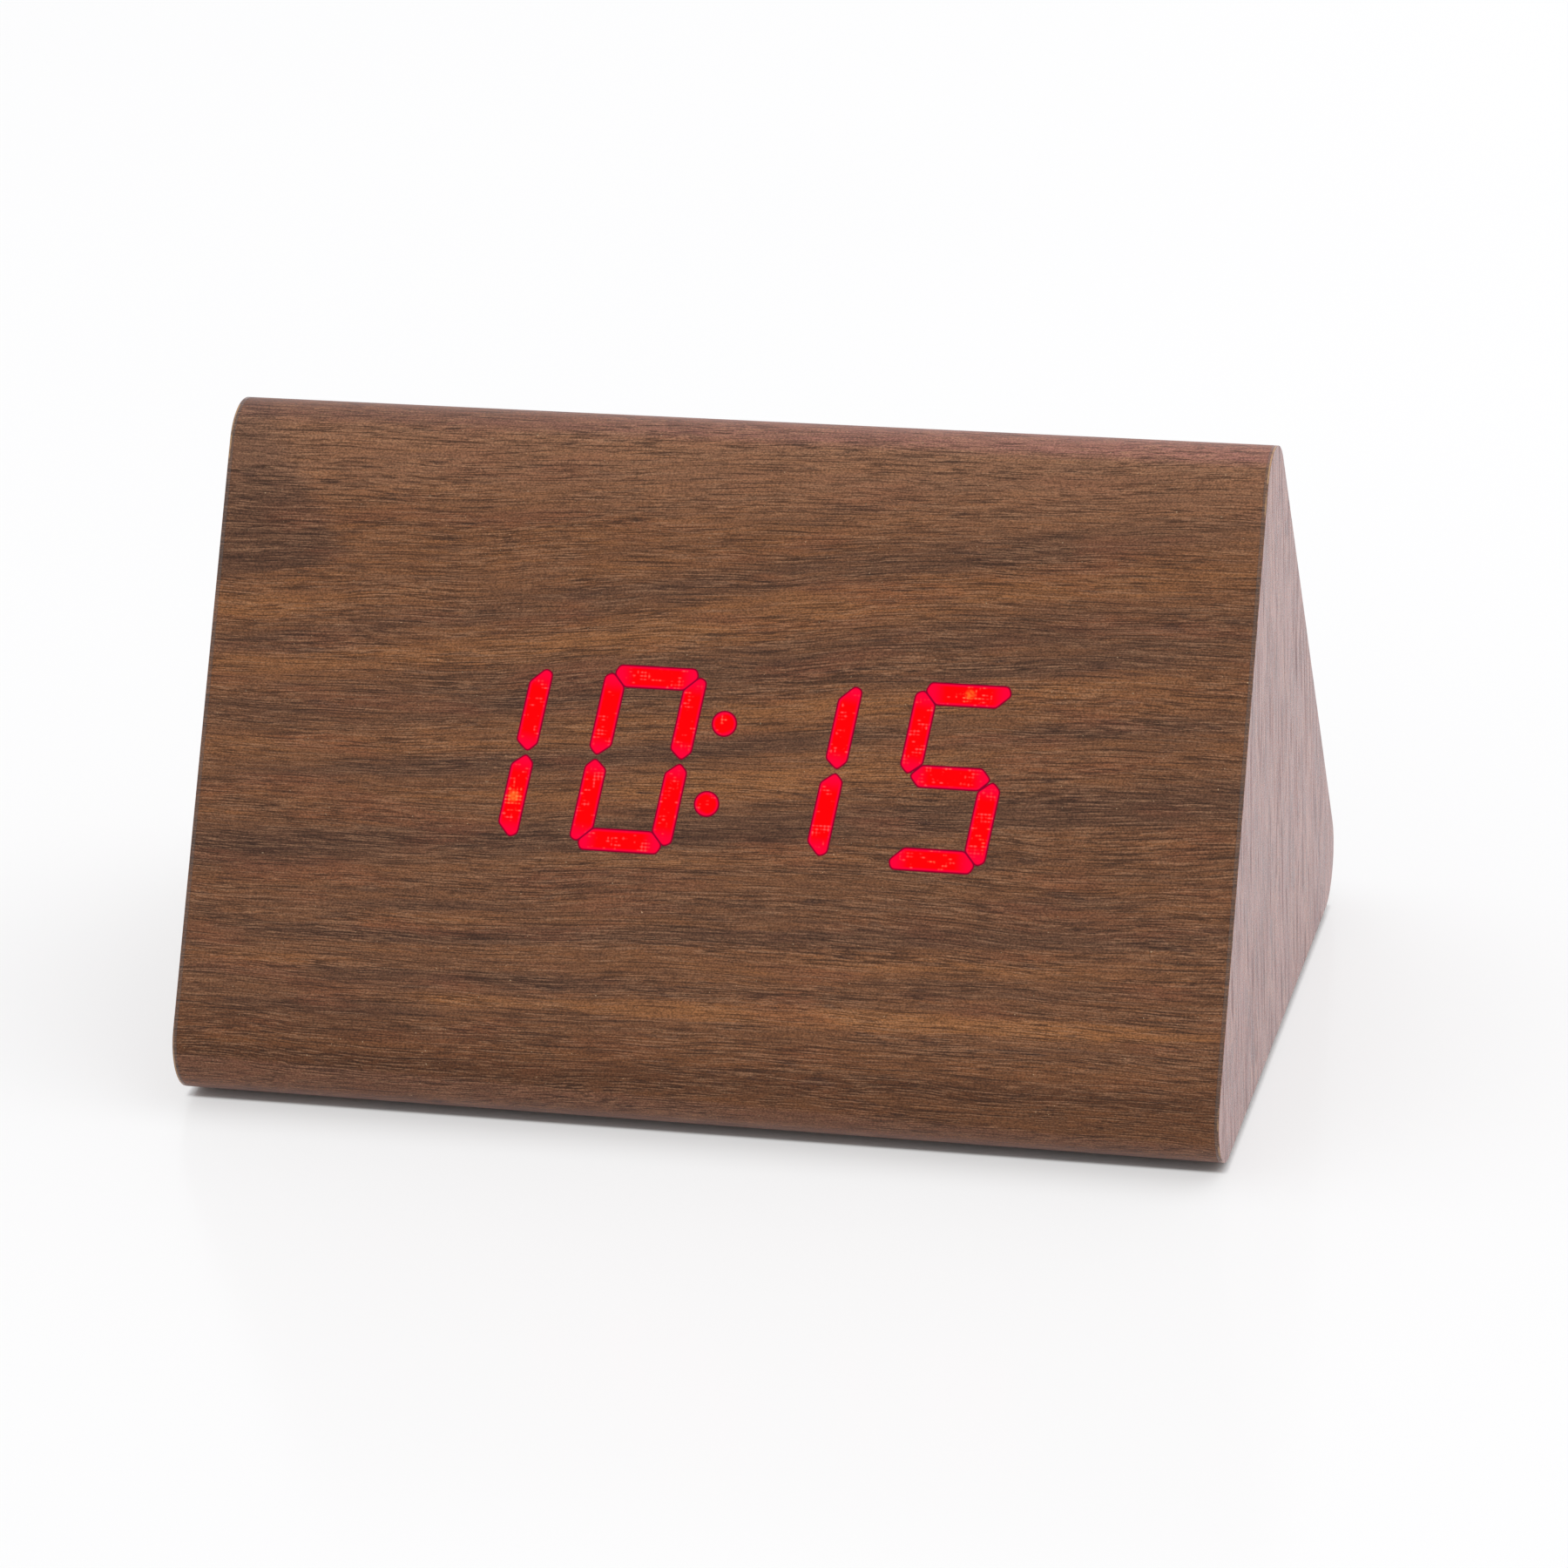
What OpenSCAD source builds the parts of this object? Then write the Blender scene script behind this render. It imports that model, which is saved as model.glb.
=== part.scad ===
// Wooden digital clock: a wrapped triangular prism with a seven-segment display behind its film.
// X runs along the clock, -Y is the front, +Z is up, and the feet stand on z = 0.

/* [Body] */
// Length of the clock over its end films
body_len = 120; // [112:1:180]
// Side of the triangular section, to the sharp corners
side = 88.5; // [86:0.5:110]
// Radius of the rounded long edges
edge_r = 6; // [3:0.5:8]
// Thickness of the wood-grain film
film_t = 0.5; // [0.4:0.05:0.8]
// Thickness of the MDF boards
panel_t = 5; // [4:0.25:7]
// Gap round a board that is glued into another
glue_gap = 0.1; // [0.05:0.05:0.3]
// Gap between faces that seat on each other
seat_gap = 0.02; // [0.01:0.01:0.05]

/* [Feet] */
// Height of the rubber feet
foot_h = 0.8; // [0.5:0.1:3]
// Radius of the rubber feet
foot_r = 4; // [2.5:0.5:5]
// Distance of a foot's middle from the clock's end
foot_inset = 11; // [8:0.5:14]
// Distance of a foot's rim from the rounded edge
foot_edge_gap = 1.5; // [0.5:0.5:4]

/* [Time shown] */
// Tens of hours
hour_tens = 1; // [0:1:2]
// Units of hours
hour_units = 0; // [0:1:9]
// Tens of minutes
minute_tens = 1; // [0:1:5]
// Units of minutes
minute_units = 5; // [0:1:9]

/* [Digits] */
// Width of a digit
digit_w = 11.6; // [10:0.1:13]
// Height of a digit
digit_h = 20.85; // [18:0.05:22]
// Distance from one digit to the next
digit_pitch = 17.85; // [17:0.05:19]
// Lean of the digits in degrees
digit_slant = 7.7; // [0:0.1:10]
// Sideways place of the display on the face
display_x = 0.35; // [-3:0.05:3]
// Thickness of a segment
seg_t = 2.3; // [1.8:0.1:2.6]
// Depth of a segment's tip below its outer edge
seg_tip = 0.9; // [0.6:0.05:1.2]
// Chamfer beside a segment's tip
seg_chamfer = 0.4; // [0.2:0.05:0.6]
// Half of the slit between two segments, along the face
seg_slit = 0.125; // [0.1:0.005:0.2]
// Rounding of a segment's corners
seg_r = 0.22; // [0.1:0.02:0.3]
// Radius of a colon dot
colon_r = 1.33; // [0.8:0.01:1.8]
// Distance between the colon dots
colon_pitch = 9.1; // [6:0.1:14]
// Thickness of the glowing film pieces
lit_t = 0.25; // [0.15:0.05:0.3]
// Dark seam round a glowing piece
lit_seam = 0.1; // [0.05:0.01:0.12]

/* [Display module] */
// Margin of the segment housing round the digits
housing_margin = 2.2; // [1.5:0.1:3]
// Gap round the segment housing in its window
housing_gap = 0.2; // [0.1:0.05:0.4]
// Gap round a light guide in its cavity
guide_gap = 0.05; // [0.02:0.01:0.1]
// Side of an LED chip
led_w = 1.2; // [0.8:0.1:1.4]
// Height of an LED chip
led_h = 0.5; // [0.3:0.1:0.8]
// Gap between an LED chip and its light guide
led_gap = 0.3; // [0.1:0.1:0.5]
// Thickness of the circuit boards
pcb_t = 1.2; // [0.8:0.1:1.6]
// Margin of the display board round its window, along the clock
display_board_margin_x = 9; // [8:0.5:11]
// Margin of the display board round its window, up the slope
display_board_margin_v = 4.5; // [4:0.5:7]
// Distance of a display screw from the board's edge
display_screw_inset = 4; // [3.5:0.25:5]
// Length of the display driver chip
driver_len = 10; // [6:0.5:14]
// Width of the display driver chip
driver_w = 6; // [4:0.5:8]
// Height of the display driver chip
driver_h = 2; // [1:0.1:3]

/* [Screws] */
// Radius of a screw's shank
screw_r = 1; // [0.8:0.05:1.2]
// Radius of a screw's head
screw_head_r = 1.9; // [1.7:0.05:2.2]
// Height of a screw's head
screw_head_h = 1.1; // [0.9:0.1:1.4]
// Depth of a screw in what it holds to
screw_bite = 3; // [2:0.1:3.5]
// Gap round a screw in its hole
screw_gap = 0.06; // [0.03:0.01:0.15]
// Spare depth of a screw's hole past its tip
screw_spare = 0.1; // [0.05:0.05:0.3]
// Width of the cross slot in a screw's head
screw_slot_w = 0.45; // [0.3:0.05:0.6]
// Length of the cross slot in a screw's head
screw_slot_len = 2.4; // [1.6:0.1:2.8]
// Depth of the cross slot in a screw's head
screw_slot_depth = 0.6; // [0.3:0.05:0.7]

/* [Control panel] */
// Length of the opening in the back
opening_len = 66; // [64:1:76]
// Height of the opening in the back
opening_h = 17; // [16:0.5:22]
// Reach of the control panel's rim over the opening
rim_reach = 7; // [6:0.25:9]
// Thickness of the control panel's rim, which stands on the back
rim_t = 1.2; // [1:0.1:2]
// Depth of the control panel's spigot in the opening
spigot_t = 1.3; // [1:0.1:2]
// Gap round the spigot in the opening
spigot_gap = 0.2; // [0.1:0.05:0.4]
// Rounding of the control panel's corners
rim_corner_r = 4; // [2:0.5:6]
// Gap between the back board and the control board
control_clear = 2.5; // [2:0.1:5]
// Gap round the control board in the opening
control_board_gap = 1; // [0.5:0.1:1.5]
// Radius of the posts that carry the control board
post_r = 2.2; // [2:0.1:2.5]
// Distance of a post from the opening's end
post_inset = 3; // [2.8:0.1:4]

/* [Buttons] */
// Distance between the buttons
button_pitch = 11; // [9.5:0.25:11]
// Place of the middle button from the middle between the inlet and the microphone
button_x = 0; // [-2:0.5:2]
// Radius of a button
button_r = 3.3; // [2.5:0.1:3.8]
// Gap round a button in its hole
button_gap = 0.3; // [0.3:0.05:0.5]
// Height of a button above the panel
button_proud = 1.2; // [0.8:0.1:2.5]
// Chamfer of a button's top
button_chamfer = 0.3; // [0.1:0.05:0.6]
// Reach of a button's collar behind the panel
button_collar = 1; // [0.8:0.1:1.2]
// Thickness of a button's collar
button_collar_t = 0.8; // [0.6:0.1:0.9]
// Gap between a button's collar and the panel
button_rest_gap = 0.1; // [0.05:0.05:0.2]
// Travel of a button
button_travel = 0.5; // [0.3:0.05:0.6]
// Side of a switch body
switch_w = 6; // [5:0.25:7]
// Height of a switch body
switch_h = 3.5; // [3:0.1:4]
// Radius of a switch plunger
plunger_r = 1.7; // [1.2:0.1:2]
// Height of a switch plunger above its body
plunger_proud = 1.2; // [1:0.1:1.4]
// Length of a switch plunger inside its body
plunger_depth = 0.6; // [0.4:0.1:0.8]
// Gap round a switch plunger in its body
plunger_gap = 0.3; // [0.3:0.05:0.4]

/* [Power inlet] */
// Distance of the inlet's middle from the opening's end
jack_x = 12.5; // [11:0.5:13]
// Radius of the hole that a plug passes in the panel
plug_hole_r = 4.2; // [3.5:0.1:4.8]
// Radius of the inlet's barrel
jack_r = 4; // [3.5:0.1:4.4]
// Radius of the inlet's bore
jack_bore_r = 1.95; // [1.8:0.05:2.5]
// Radius of the inlet's centre pin
jack_pin_r = 0.65; // [0.5:0.05:0.8]
// Gap between the panel and the inlet's face
jack_gap = 1; // [0.6:0.1:1.5]
// Thickness of the inlet's floor
jack_floor = 1.2; // [0.8:0.1:1.6]
// Depth of the centre pin's tip below the inlet's face
jack_pin_inset = 0.8; // [0.5:0.1:1.5]

/* [Battery box] */
// Diameter of a cell
cell_d = 10.5; // [10:0.1:11]
// Length of a cell over its button
cell_len = 44.5; // [42:0.5:46]
// Radius of a cell's button
cell_button_r = 1.9; // [1.5:0.1:2.5]
// Height of a cell's button
cell_button_h = 0.8; // [0.6:0.1:1.2]
// Gap round a cell
cell_gap = 0.5; // [0.4:0.05:0.8]
// Length of a pressed battery spring
spring_len = 5.2; // [4.6:0.1:7]
// Wire diameter of a battery spring
spring_wire = 0.7; // [0.5:0.05:0.8]
// Middle radius of a battery spring
spring_r = 3.2; // [2.4:0.1:3.8]
// Turns of a battery spring
spring_turns = 3.5; // [2:0.25:3.5]
// Thickness of a contact plate
plate_t = 0.4; // [0.3:0.05:0.6]
// Side of a contact plate
plate_w = 8.5; // [7:0.25:9.5]
// Gap between a contact and what it touches
contact_gap = 0.1; // [0.05:0.05:0.2]
// Width of a solder lug
lug_w = 2; // [1.5:0.1:3]
// Height of a solder lug above the box
lug_proud = 3; // [2:0.25:4]
// Gap round a solder lug in its slot
lug_gap = 0.2; // [0.1:0.05:0.3]
// Wall of the battery box
box_wall = 1.6; // [1.5:0.1:2.5]
// Reach of the battery box's rim
box_rim = 4.2; // [4:0.1:6]
// Thickness of the battery box's rim
box_rim_t = 1.5; // [1.2:0.1:2]
// Rounding of the rim's corners
box_corner_r = 2.5; // [1:0.25:4]
// Distance between two rim screws across the clock
box_screw_pitch = 31; // [24:0.5:40]
// Gap round the battery box in the base
box_gap = 0.2; // [0.1:0.05:0.4]
// Thickness of the battery door
door_t = 1.8; // [1.4:0.1:2.4]
// Gap round the battery door
door_gap = 0.3; // [0.3:0.05:0.5]
// Radius of the door's hinge barrel
hinge_r = 1.5; // [1.4:0.05:1.6]
// Radius of the door's hinge pins
hinge_pin_r = 0.9; // [0.6:0.05:1]
// Gap round a hinge pin
hinge_gap = 0.06; // [0.03:0.01:0.08]
// Gap between a hinge pin's end and the box's outside
hinge_pin_inset = 0.3; // [0.1:0.1:0.6]
// Radius of the thumb recess in the door
thumb_r = 7; // [5:0.5:9]
// Distance of the thumb recess's middle from the door's edge
thumb_inset = 1.5; // [0:0.5:3]
// Depth of the thumb recess in the door
thumb_depth = 0.8; // [0.4:0.1:1]
// Ridges in the thumb recess
thumb_ridges = 3; // [2:1:4]
// Width of a thumb ridge
ridge_w = 0.6; // [0.4:0.1:0.8]
// Distance between the thumb ridges
ridge_pitch = 2; // [1.2:0.1:2]
// Length of the thumb ridges
ridge_len = 7; // [4:0.5:8]

/* [Wiring] */
// Width of the ribbon cable
ribbon_w = 12; // [8:0.5:13]
// Thickness of the ribbon cable
ribbon_t = 0.8; // [0.6:0.1:1]
// Wall of a ribbon socket round the cable
socket_wall = 1; // [0.8:0.1:1.4]
// Gap between a ribbon socket and the buzzer
socket_gap = 1.5; // [1:0.1:2.5]
// Height of a ribbon socket
socket_h = 4; // [3:0.25:6]
// Radius of a battery lead
lead_r = 0.6; // [0.4:0.05:0.7]
// Gap between a battery lead's bend and the capacitors' tops
lead_gap = 1; // [0.5:0.1:2]

/* [Board parts] */
// Length of the controller chip
chip_len = 8; // [6:0.5:9]
// Width of the controller chip
chip_w = 6; // [4:0.5:8]
// Gap between the controller chip and the ribbon socket
chip_gap = 2; // [1:0.1:3]
// Height of the controller chip
chip_h = 1.8; // [1:0.1:2.5]
// Length of the crystal's can
crystal_len = 10; // [6:0.5:11]
// Width of the crystal's can
crystal_w = 3.6; // [2.5:0.1:4]
// Rounding of the crystal can's ends
crystal_corner_r = 1.2; // [0.3:0.1:1.2]
// Height of the crystal's can
crystal_h = 3.4; // [2:0.1:4]
// Radius of the buzzer
buzzer_r = 4.5; // [4:0.25:5]
// Height of the buzzer
buzzer_h = 5; // [3.5:0.25:6]
// Radius of the buzzer's sound hole
buzzer_hole_r = 1; // [0.6:0.1:1.5]
// Gap between the buzzer and a board screw
buzzer_gap = 1.6; // [0.8:0.1:2]
// Depth of the buzzer's sound hole
buzzer_hole_depth = 2; // [1:0.25:3]
// Radius of the microphone capsule
mic_r = 3; // [2:0.25:3.3]
// Gap between the microphone capsule and its post
mic_gap = 0.5; // [0.3:0.1:1]
// Height of the microphone capsule
mic_h = 2.7; // [2:0.1:4]
// Radius of the sound hole in the panel
mic_hole_r = 0.8; // [0.5:0.1:1.2]
// Radius of a capacitor
cap_r = 2.4; // [2:0.1:2.6]
// Height of a capacitor
cap_h = 7; // [5:0.25:9]
// Gap between a capacitor and a board screw
cap_gap = 1; // [0.6:0.1:1.5]
// Distance between the capacitors
cap_pitch = 5.5; // [5.4:0.1:6]
// Radius of the thermistor's bead
bead_r = 1.1; // [0.8:0.1:1.4]
// Distance of the thermistor from a board screw, along the panel
bead_inset = 1.5; // [1:0.1:2]
// Distance of the thermistor below a board screw
bead_drop = 3.5; // [3.2:0.1:4]
// Length of the thermistor's legs
leg_len = 2; // [1.5:0.1:3]
// Radius of the thermistor's legs
leg_r = 0.25; // [0.2:0.05:0.35]

/* [Hidden] */
$fn = 64;
EPS = 0.5;
SIN60 = sin(60);
COS60 = cos(60);
ROOT3 = sqrt(3);

// Depths below the faces
skin_depth = film_t + panel_t;
tube_len = body_len - 2 * film_t;
control_depth = skin_depth + control_clear;
display_front = skin_depth + seat_gap;
display_back = display_front + pcb_t;
guide_depth = display_front - led_h - led_gap;
control_back = control_depth + pcb_t;

// Digits
half_w = digit_w / 2;
half_h = digit_h / 2;
lean = tan(digit_slant);
DIGIT_X = [for (i = [0:3]) (i - 1.5) * digit_pitch];
COLON = [for (k = [-1, 1]) [k * colon_pitch / 2 * lean, k * colon_pitch / 2]];
housing_w = 3 * digit_pitch + digit_w + digit_h * lean + 2 * housing_margin;
housing_h = digit_h + 2 * housing_margin;
board_w = housing_w + 2 * display_board_margin_x;
board_h = housing_h + 2 * display_board_margin_v;
DISPLAY_SCREWS = [
    for (i = [-1, 1], j = [-1, 1])
        [i * (board_w / 2 - display_screw_inset), j * (board_h / 2 - display_screw_inset)]
];
// Segments a to g that show each figure
LIT = [
    [0, 1, 2, 3, 4, 5], [1, 2], [0, 1, 3, 4, 6], [0, 1, 2, 3, 6], [1, 2, 5, 6],
    [0, 2, 3, 5, 6], [0, 2, 3, 4, 5, 6], [0, 1, 2], [0, 1, 2, 3, 4, 5, 6], [0, 1, 2, 3, 5, 6]
];

// Control panel
rim_len = opening_len + 2 * rim_reach;
rim_h = opening_h + rim_reach;
panel_full_t = rim_t + spigot_t;
post_x = opening_len / 2 - post_inset;
rim_screw_x = opening_len / 2 + rim_reach / 2;
control_board_len = opening_len - 2 * control_board_gap;
control_board_h = opening_h - 2 * control_board_gap;
plunger_top = control_depth - switch_h - plunger_proud;
mic_x = post_x - post_r - mic_r - mic_gap;
inlet_x = jack_x - opening_len / 2;
button_middle = (inlet_x + jack_r + mic_x - mic_r) / 2 + button_x;
BUTTON_X = [for (k = [-1, 0, 1]) button_middle + k * button_pitch];
jack_h = control_depth - spigot_t - jack_gap;

// Places on the control board's inner side, along the panel and up the slope
socket_len = ribbon_w + 2 * socket_wall;
socket_w = ribbon_t + 2 * socket_wall;
CONTROL_SOCKET_V = 3.5;
DISPLAY_SOCKET_V = 11;
BUZZER_AT = [post_x - screw_head_r - buzzer_gap - buzzer_r, 0];
socket_x = BUZZER_AT.x - buzzer_r - socket_gap - socket_len / 2;
CRYSTAL_AT = [socket_x, -3];
CHIP_AT = [socket_x - socket_len / 2 - chip_gap - chip_len / 2, 0];
CAPS_AT = [-post_x + screw_head_r + cap_gap + cap_r + cap_pitch / 2, 0];
BEAD_AT = [-post_x + bead_inset, -bead_drop];
// Both leads land halfway between the capacitors and the chip
pad_x = (CAPS_AT.x + cap_pitch / 2 + cap_r + CHIP_AT.x - chip_len / 2) / 2;
RED_PAD = [pad_x, -5];
BLACK_PAD = [pad_x, -1];

// Battery box, above the base's outer face
CELLS = 4;
cell_pitch = cell_d + cell_gap;
box_in_len = cell_len + spring_len + 2 * plate_t + 3 * contact_gap;
box_in_w = CELLS * cell_pitch + cell_gap;
cell_z = door_t + cell_gap + cell_d / 2;
box_ceiling = cell_z + cell_d / 2 + cell_gap;
box_len = box_in_len + 2 * box_wall;
box_w = box_in_w + 2 * box_wall;
box_top = box_ceiling + box_wall;
box_rim_len = box_len + 2 * box_rim;
box_rim_w = box_w + 2 * box_rim;
hinge_y = box_in_w / 2 - door_gap - hinge_r;
door_len = box_in_len - 2 * door_gap;
CELL_Y = [for (i = [0:CELLS - 1]) (i - (CELLS - 1) / 2) * cell_pitch];
BOX_SCREWS = [
    for (i = [-1, 1], j = [-1, 1])
        [i * (box_len + box_rim) / 2, j * box_screw_pitch / 2]
];
lug_x = box_in_len / 2 - plate_t / 2;
LEAD_RISE = 8;
LEAD_REACH = 5;
LEAD_RINGS = 14;
LEAD_SIDES = 8;
RIBBON_REACH = 10;
RIBBON_STEPS = 20;
CURL_RINGS = 8;
WIRE_SIDES = 6;

foot_y = side / 2 - ROOT3 * edge_r - foot_r - foot_edge_gap;
foot_x = body_len / 2 - foot_inset;

// Plane geometry

function unit(v) = v / norm(v);

// A polygon that runs anticlockwise, with its edges moved in by d
function inset(points, d) = let (n = len(points)) [
    for (i = [0:n - 1])
        let (p = points[i], u = unit(p - points[(i + n - 1) % n]), w = unit(points[(i + 1) % n] - p))
        let (nu = [-u.y, u.x], nw = [-w.y, w.x])
        p + d * (nu + nw) / (1 + nu * nw)
];

// A polygon with each corner turned into an arc of radius r
function rounded(points, r, steps = 6) = let (n = len(points)) [
    for (i = [0:n - 1])
        let (p = points[i], u = unit(points[(i + n - 1) % n] - p), w = unit(points[(i + 1) % n] - p))
        let (half = acos(u * w) / 2, centre = p + unit(u + w) * r / sin(half))
        let (from = p + u * r / tan(half) - centre, to = p + w * r / tan(half) - centre)
        for (k = [0:steps]) centre + r * unit(from * (1 - k / steps) + to * k / steps)
];

function box_points(w, h) = [[-w / 2, -h / 2], [w / 2, -h / 2], [w / 2, h / 2], [-w / 2, h / 2]];

// Mirror images that still run anticlockwise
function flip_x(points) = [for (i = [len(points) - 1:-1:0]) [-points[i].x, points[i].y]];
function flip_y(points) = [for (i = [len(points) - 1:-1:0]) [points[i].x, -points[i].y]];

// Segments of an upright digit, round its middle
SEG_A = let (tip = half_w - seg_tip - seg_slit, low = half_w - seg_t - seg_slit) [
    [-tip + seg_chamfer, half_h], [-tip, half_h - seg_tip], [-low, half_h - seg_t],
    [low, half_h - seg_t], [tip, half_h - seg_tip], [tip - seg_chamfer, half_h]
];
SEG_B = [
    [half_w - seg_tip + seg_slit, half_h - seg_tip],
    [half_w - seg_t, half_h - seg_t - seg_slit],
    [half_w - seg_t, seg_t / 2 + 2 * seg_slit],
    [half_w - seg_tip, 2 * seg_slit],
    [half_w, seg_tip + 2 * seg_slit],
    [half_w, half_h - seg_tip - seg_chamfer]
];
SEG_G = let (tip = half_w - seg_tip - seg_chamfer, low = half_w - seg_t - seg_slit) [
    [-tip, 0], [-low, -seg_t / 2], [low, -seg_t / 2], [tip, 0], [low, seg_t / 2], [-low, seg_t / 2]
];
SEGMENTS = [SEG_A, SEG_B, flip_y(SEG_B), flip_y(SEG_A), flip_x(flip_y(SEG_B)), flip_x(SEG_B), SEG_G];

function slanted(points) = [for (p = points) [p.x + p.y * lean, p.y]];
function segment_outline(k, grow) = inset(slanted(SEGMENTS[k]), -grow);
function middle(points) = [
    for (i = [0, 1]) let (values = [for (p = points) p[i]]) (min(values) + max(values)) / 2
];

// Places in space

function front_point(v, depth) = [-side / 2 + v * COS60 + depth * SIN60, foot_h + v * SIN60 - depth * COS60];
function rear_point(v, depth) = [side / 2 - v * COS60 - depth * SIN60, foot_h + v * SIN60 - depth * COS60];
function control_point(at, depth) = let (q = rear_point(side / 2 + at.y, depth)) [-at.x, q.x, q.y];
function bezier(a, b, c, d, t) =
    a * pow(1 - t, 3) + 3 * b * t * pow(1 - t, 2) + 3 * c * t * t * (1 - t) + d * pow(t, 3);

// Frames: z = 0 is the film's outer face, and z points out of it

module on_front() {
    translate([0, -side / 2, foot_h]) rotate([60, 0, 0]) translate([0, side / 2, 0]) children();
}

module on_rear() {
    rotate([0, 0, 180]) on_front() children();
}

module on_display() {
    on_front() translate([display_x, 0, 0]) children();
}

module on_base() {
    translate([0, 0, foot_h]) children();
}

module plate(points, bottom, top) {
    translate([0, 0, bottom]) linear_extrude(top - bottom) polygon(points);
}

module block(w, h, bottom, top) {
    plate(box_points(w, h), bottom, top);
}

module rod(r, bottom, top) {
    translate([0, 0, bottom]) cylinder(r = r, h = top - bottom);
}

// Cross section of the body, moved in from its outer face by depth
module section(depth) {
    s = side - 2 * ROOT3 * depth;
    r = edge_r - depth;
    tangent = ROOT3 * r;
    translate([0, depth]) {
        polygon([
            [-s / 2 + tangent, 0], [s / 2 - tangent, 0],
            [s / 2 - tangent * COS60, tangent * SIN60], [tangent * COS60, (s - tangent) * SIN60],
            [-tangent * COS60, (s - tangent) * SIN60], [-s / 2 + tangent * COS60, tangent * SIN60]
        ]);
        for (x = [-s / 2 + tangent, s / 2 - tangent]) translate([x, r]) circle(r);
        translate([0, s * SIN60 - 2 * r]) circle(r);
    }
}

function triangle(depth) = let (s = side - 2 * ROOT3 * depth)
    [[-s / 2, depth], [s / 2, depth], [0, depth + s * SIN60]];

module along(from, to) {
    translate([from, 0, foot_h]) rotate([90, 0, 90]) linear_extrude(to - from) children();
}

// One of the three boards of the tube, mitred at its edges
module mitred_board(first, second) {
    outer = triangle(0);
    inner = triangle(skin_depth);
    along(-tube_len / 2, tube_len / 2) intersection() {
        section(film_t);
        polygon([outer[first], outer[second], inner[second], inner[first]]);
    }
}

// A tube round a path, with flat ends
module wire(path, r, sides) {
    n = len(path);
    tangents = [for (i = [0:n - 1]) unit(path[min(i + 1, n - 1)] - path[max(i - 1, 0)])];
    rings = [
        for (i = [0:n - 1])
            let (a = unit(cross(tangents[i], [1, 0, 0])), b = cross(tangents[i], a))
            for (k = [0:sides - 1]) path[i] + r * (cos(360 * k / sides) * a + sin(360 * k / sides) * b)
    ];
    skin = [
        for (i = [0:n - 2], k = [0:sides - 1])
            let (p = i * sides + k, q = i * sides + (k + 1) % sides)
            each [[p, q, p + sides], [q, q + sides, p + sides]]
    ];
    first = [for (k = [1:sides - 2]) [0, k + 1, k]];
    last = [for (k = [1:sides - 2]) (n - 1) * sides * [1, 1, 1] + [0, k, k + 1]];
    polyhedron(points = rings, faces = concat(skin, first, last));
}

// A screw with its head's face at z = 0 and its shank along -z
module screw(countersunk, grip) {
    difference() {
        union() {
            translate([0, 0, -screw_head_h])
                cylinder(r1 = countersunk ? screw_r : screw_head_r, r2 = screw_head_r, h = screw_head_h);
            rod(screw_r, -(grip + screw_bite), -screw_head_h / 2);
        }
        for (turn = [0, 90]) rotate(turn)
            block(screw_slot_len, screw_slot_w, -screw_slot_depth, EPS);
    }
}

module screw_hole(bottom, top) {
    rod(screw_r + screw_gap, bottom, top);
}

// The cone in which a countersunk head lies, with its face at z = top
module countersink(top) {
    translate([0, 0, top - screw_head_h])
        cylinder(r1 = screw_r + screw_gap, r2 = screw_head_r + screw_gap, h = screw_head_h);
}

// Case

module front_panel() {
    color("burlywood") difference() {
        mitred_board(2, 0);
        on_display() block(housing_w + 2 * housing_gap, housing_h + 2 * housing_gap, -skin_depth - EPS, EPS);
        on_display() for (at = DISPLAY_SCREWS) translate(at)
            screw_hole(-skin_depth - EPS, -skin_depth + screw_bite + screw_spare);
    }
}

module rear_panel() {
    color("burlywood") difference() {
        mitred_board(1, 2);
        on_rear() block(opening_len, opening_h, -skin_depth - EPS, EPS);
        on_rear() for (k = [-1, 1]) translate([k * rim_screw_x, 0])
            screw_hole(-screw_bite - screw_spare, EPS);
    }
}

module base_panel() {
    color("burlywood") difference() {
        mitred_board(0, 1);
        on_base() block(box_len + 2 * box_gap, box_w + 2 * box_gap, -EPS, skin_depth + EPS);
        on_base() plate(
            rounded(box_points(box_rim_len + 2 * box_gap, box_rim_w + 2 * box_gap), box_corner_r + box_gap),
            -EPS, box_rim_t
        );
        on_base() for (at = BOX_SCREWS) translate(at) screw_hole(0, box_rim_t + screw_bite + screw_spare);
    }
}

module end_board(x) {
    color("burlywood") along(x, x + panel_t) polygon(triangle(skin_depth + glue_gap));
}

module end_panel_left() {
    end_board(-tube_len / 2);
}

module end_panel_right() {
    end_board(tube_len / 2 - panel_t);
}

module film_wrap() {
    color("saddlebrown") difference() {
        along(-tube_len / 2, tube_len / 2) difference() {
            section(0);
            section(film_t);
        }
        on_rear() block(opening_len, opening_h, -EPS - film_t, EPS);
        on_rear() for (k = [-1, 1]) translate([k * rim_screw_x, 0]) screw_hole(-EPS - film_t, EPS);
        on_base() plate(
            rounded(box_points(box_rim_len + 2 * box_gap, box_rim_w + 2 * box_gap), box_corner_r + box_gap),
            -EPS, film_t + EPS
        );
        on_display() {
            shown_figure(hour_tens, 0, lit_seam, -lit_t, EPS);
            shown_figure(hour_units, 1, lit_seam, -lit_t, EPS);
            shown_figure(minute_tens, 2, lit_seam, -lit_t, EPS);
            shown_figure(minute_units, 3, lit_seam, -lit_t, EPS);
            colon_dots(lit_seam, -lit_t, EPS);
        }
    }
}

module film_end_left() {
    color("sienna") along(-body_len / 2, -tube_len / 2) section(0);
}

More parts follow.
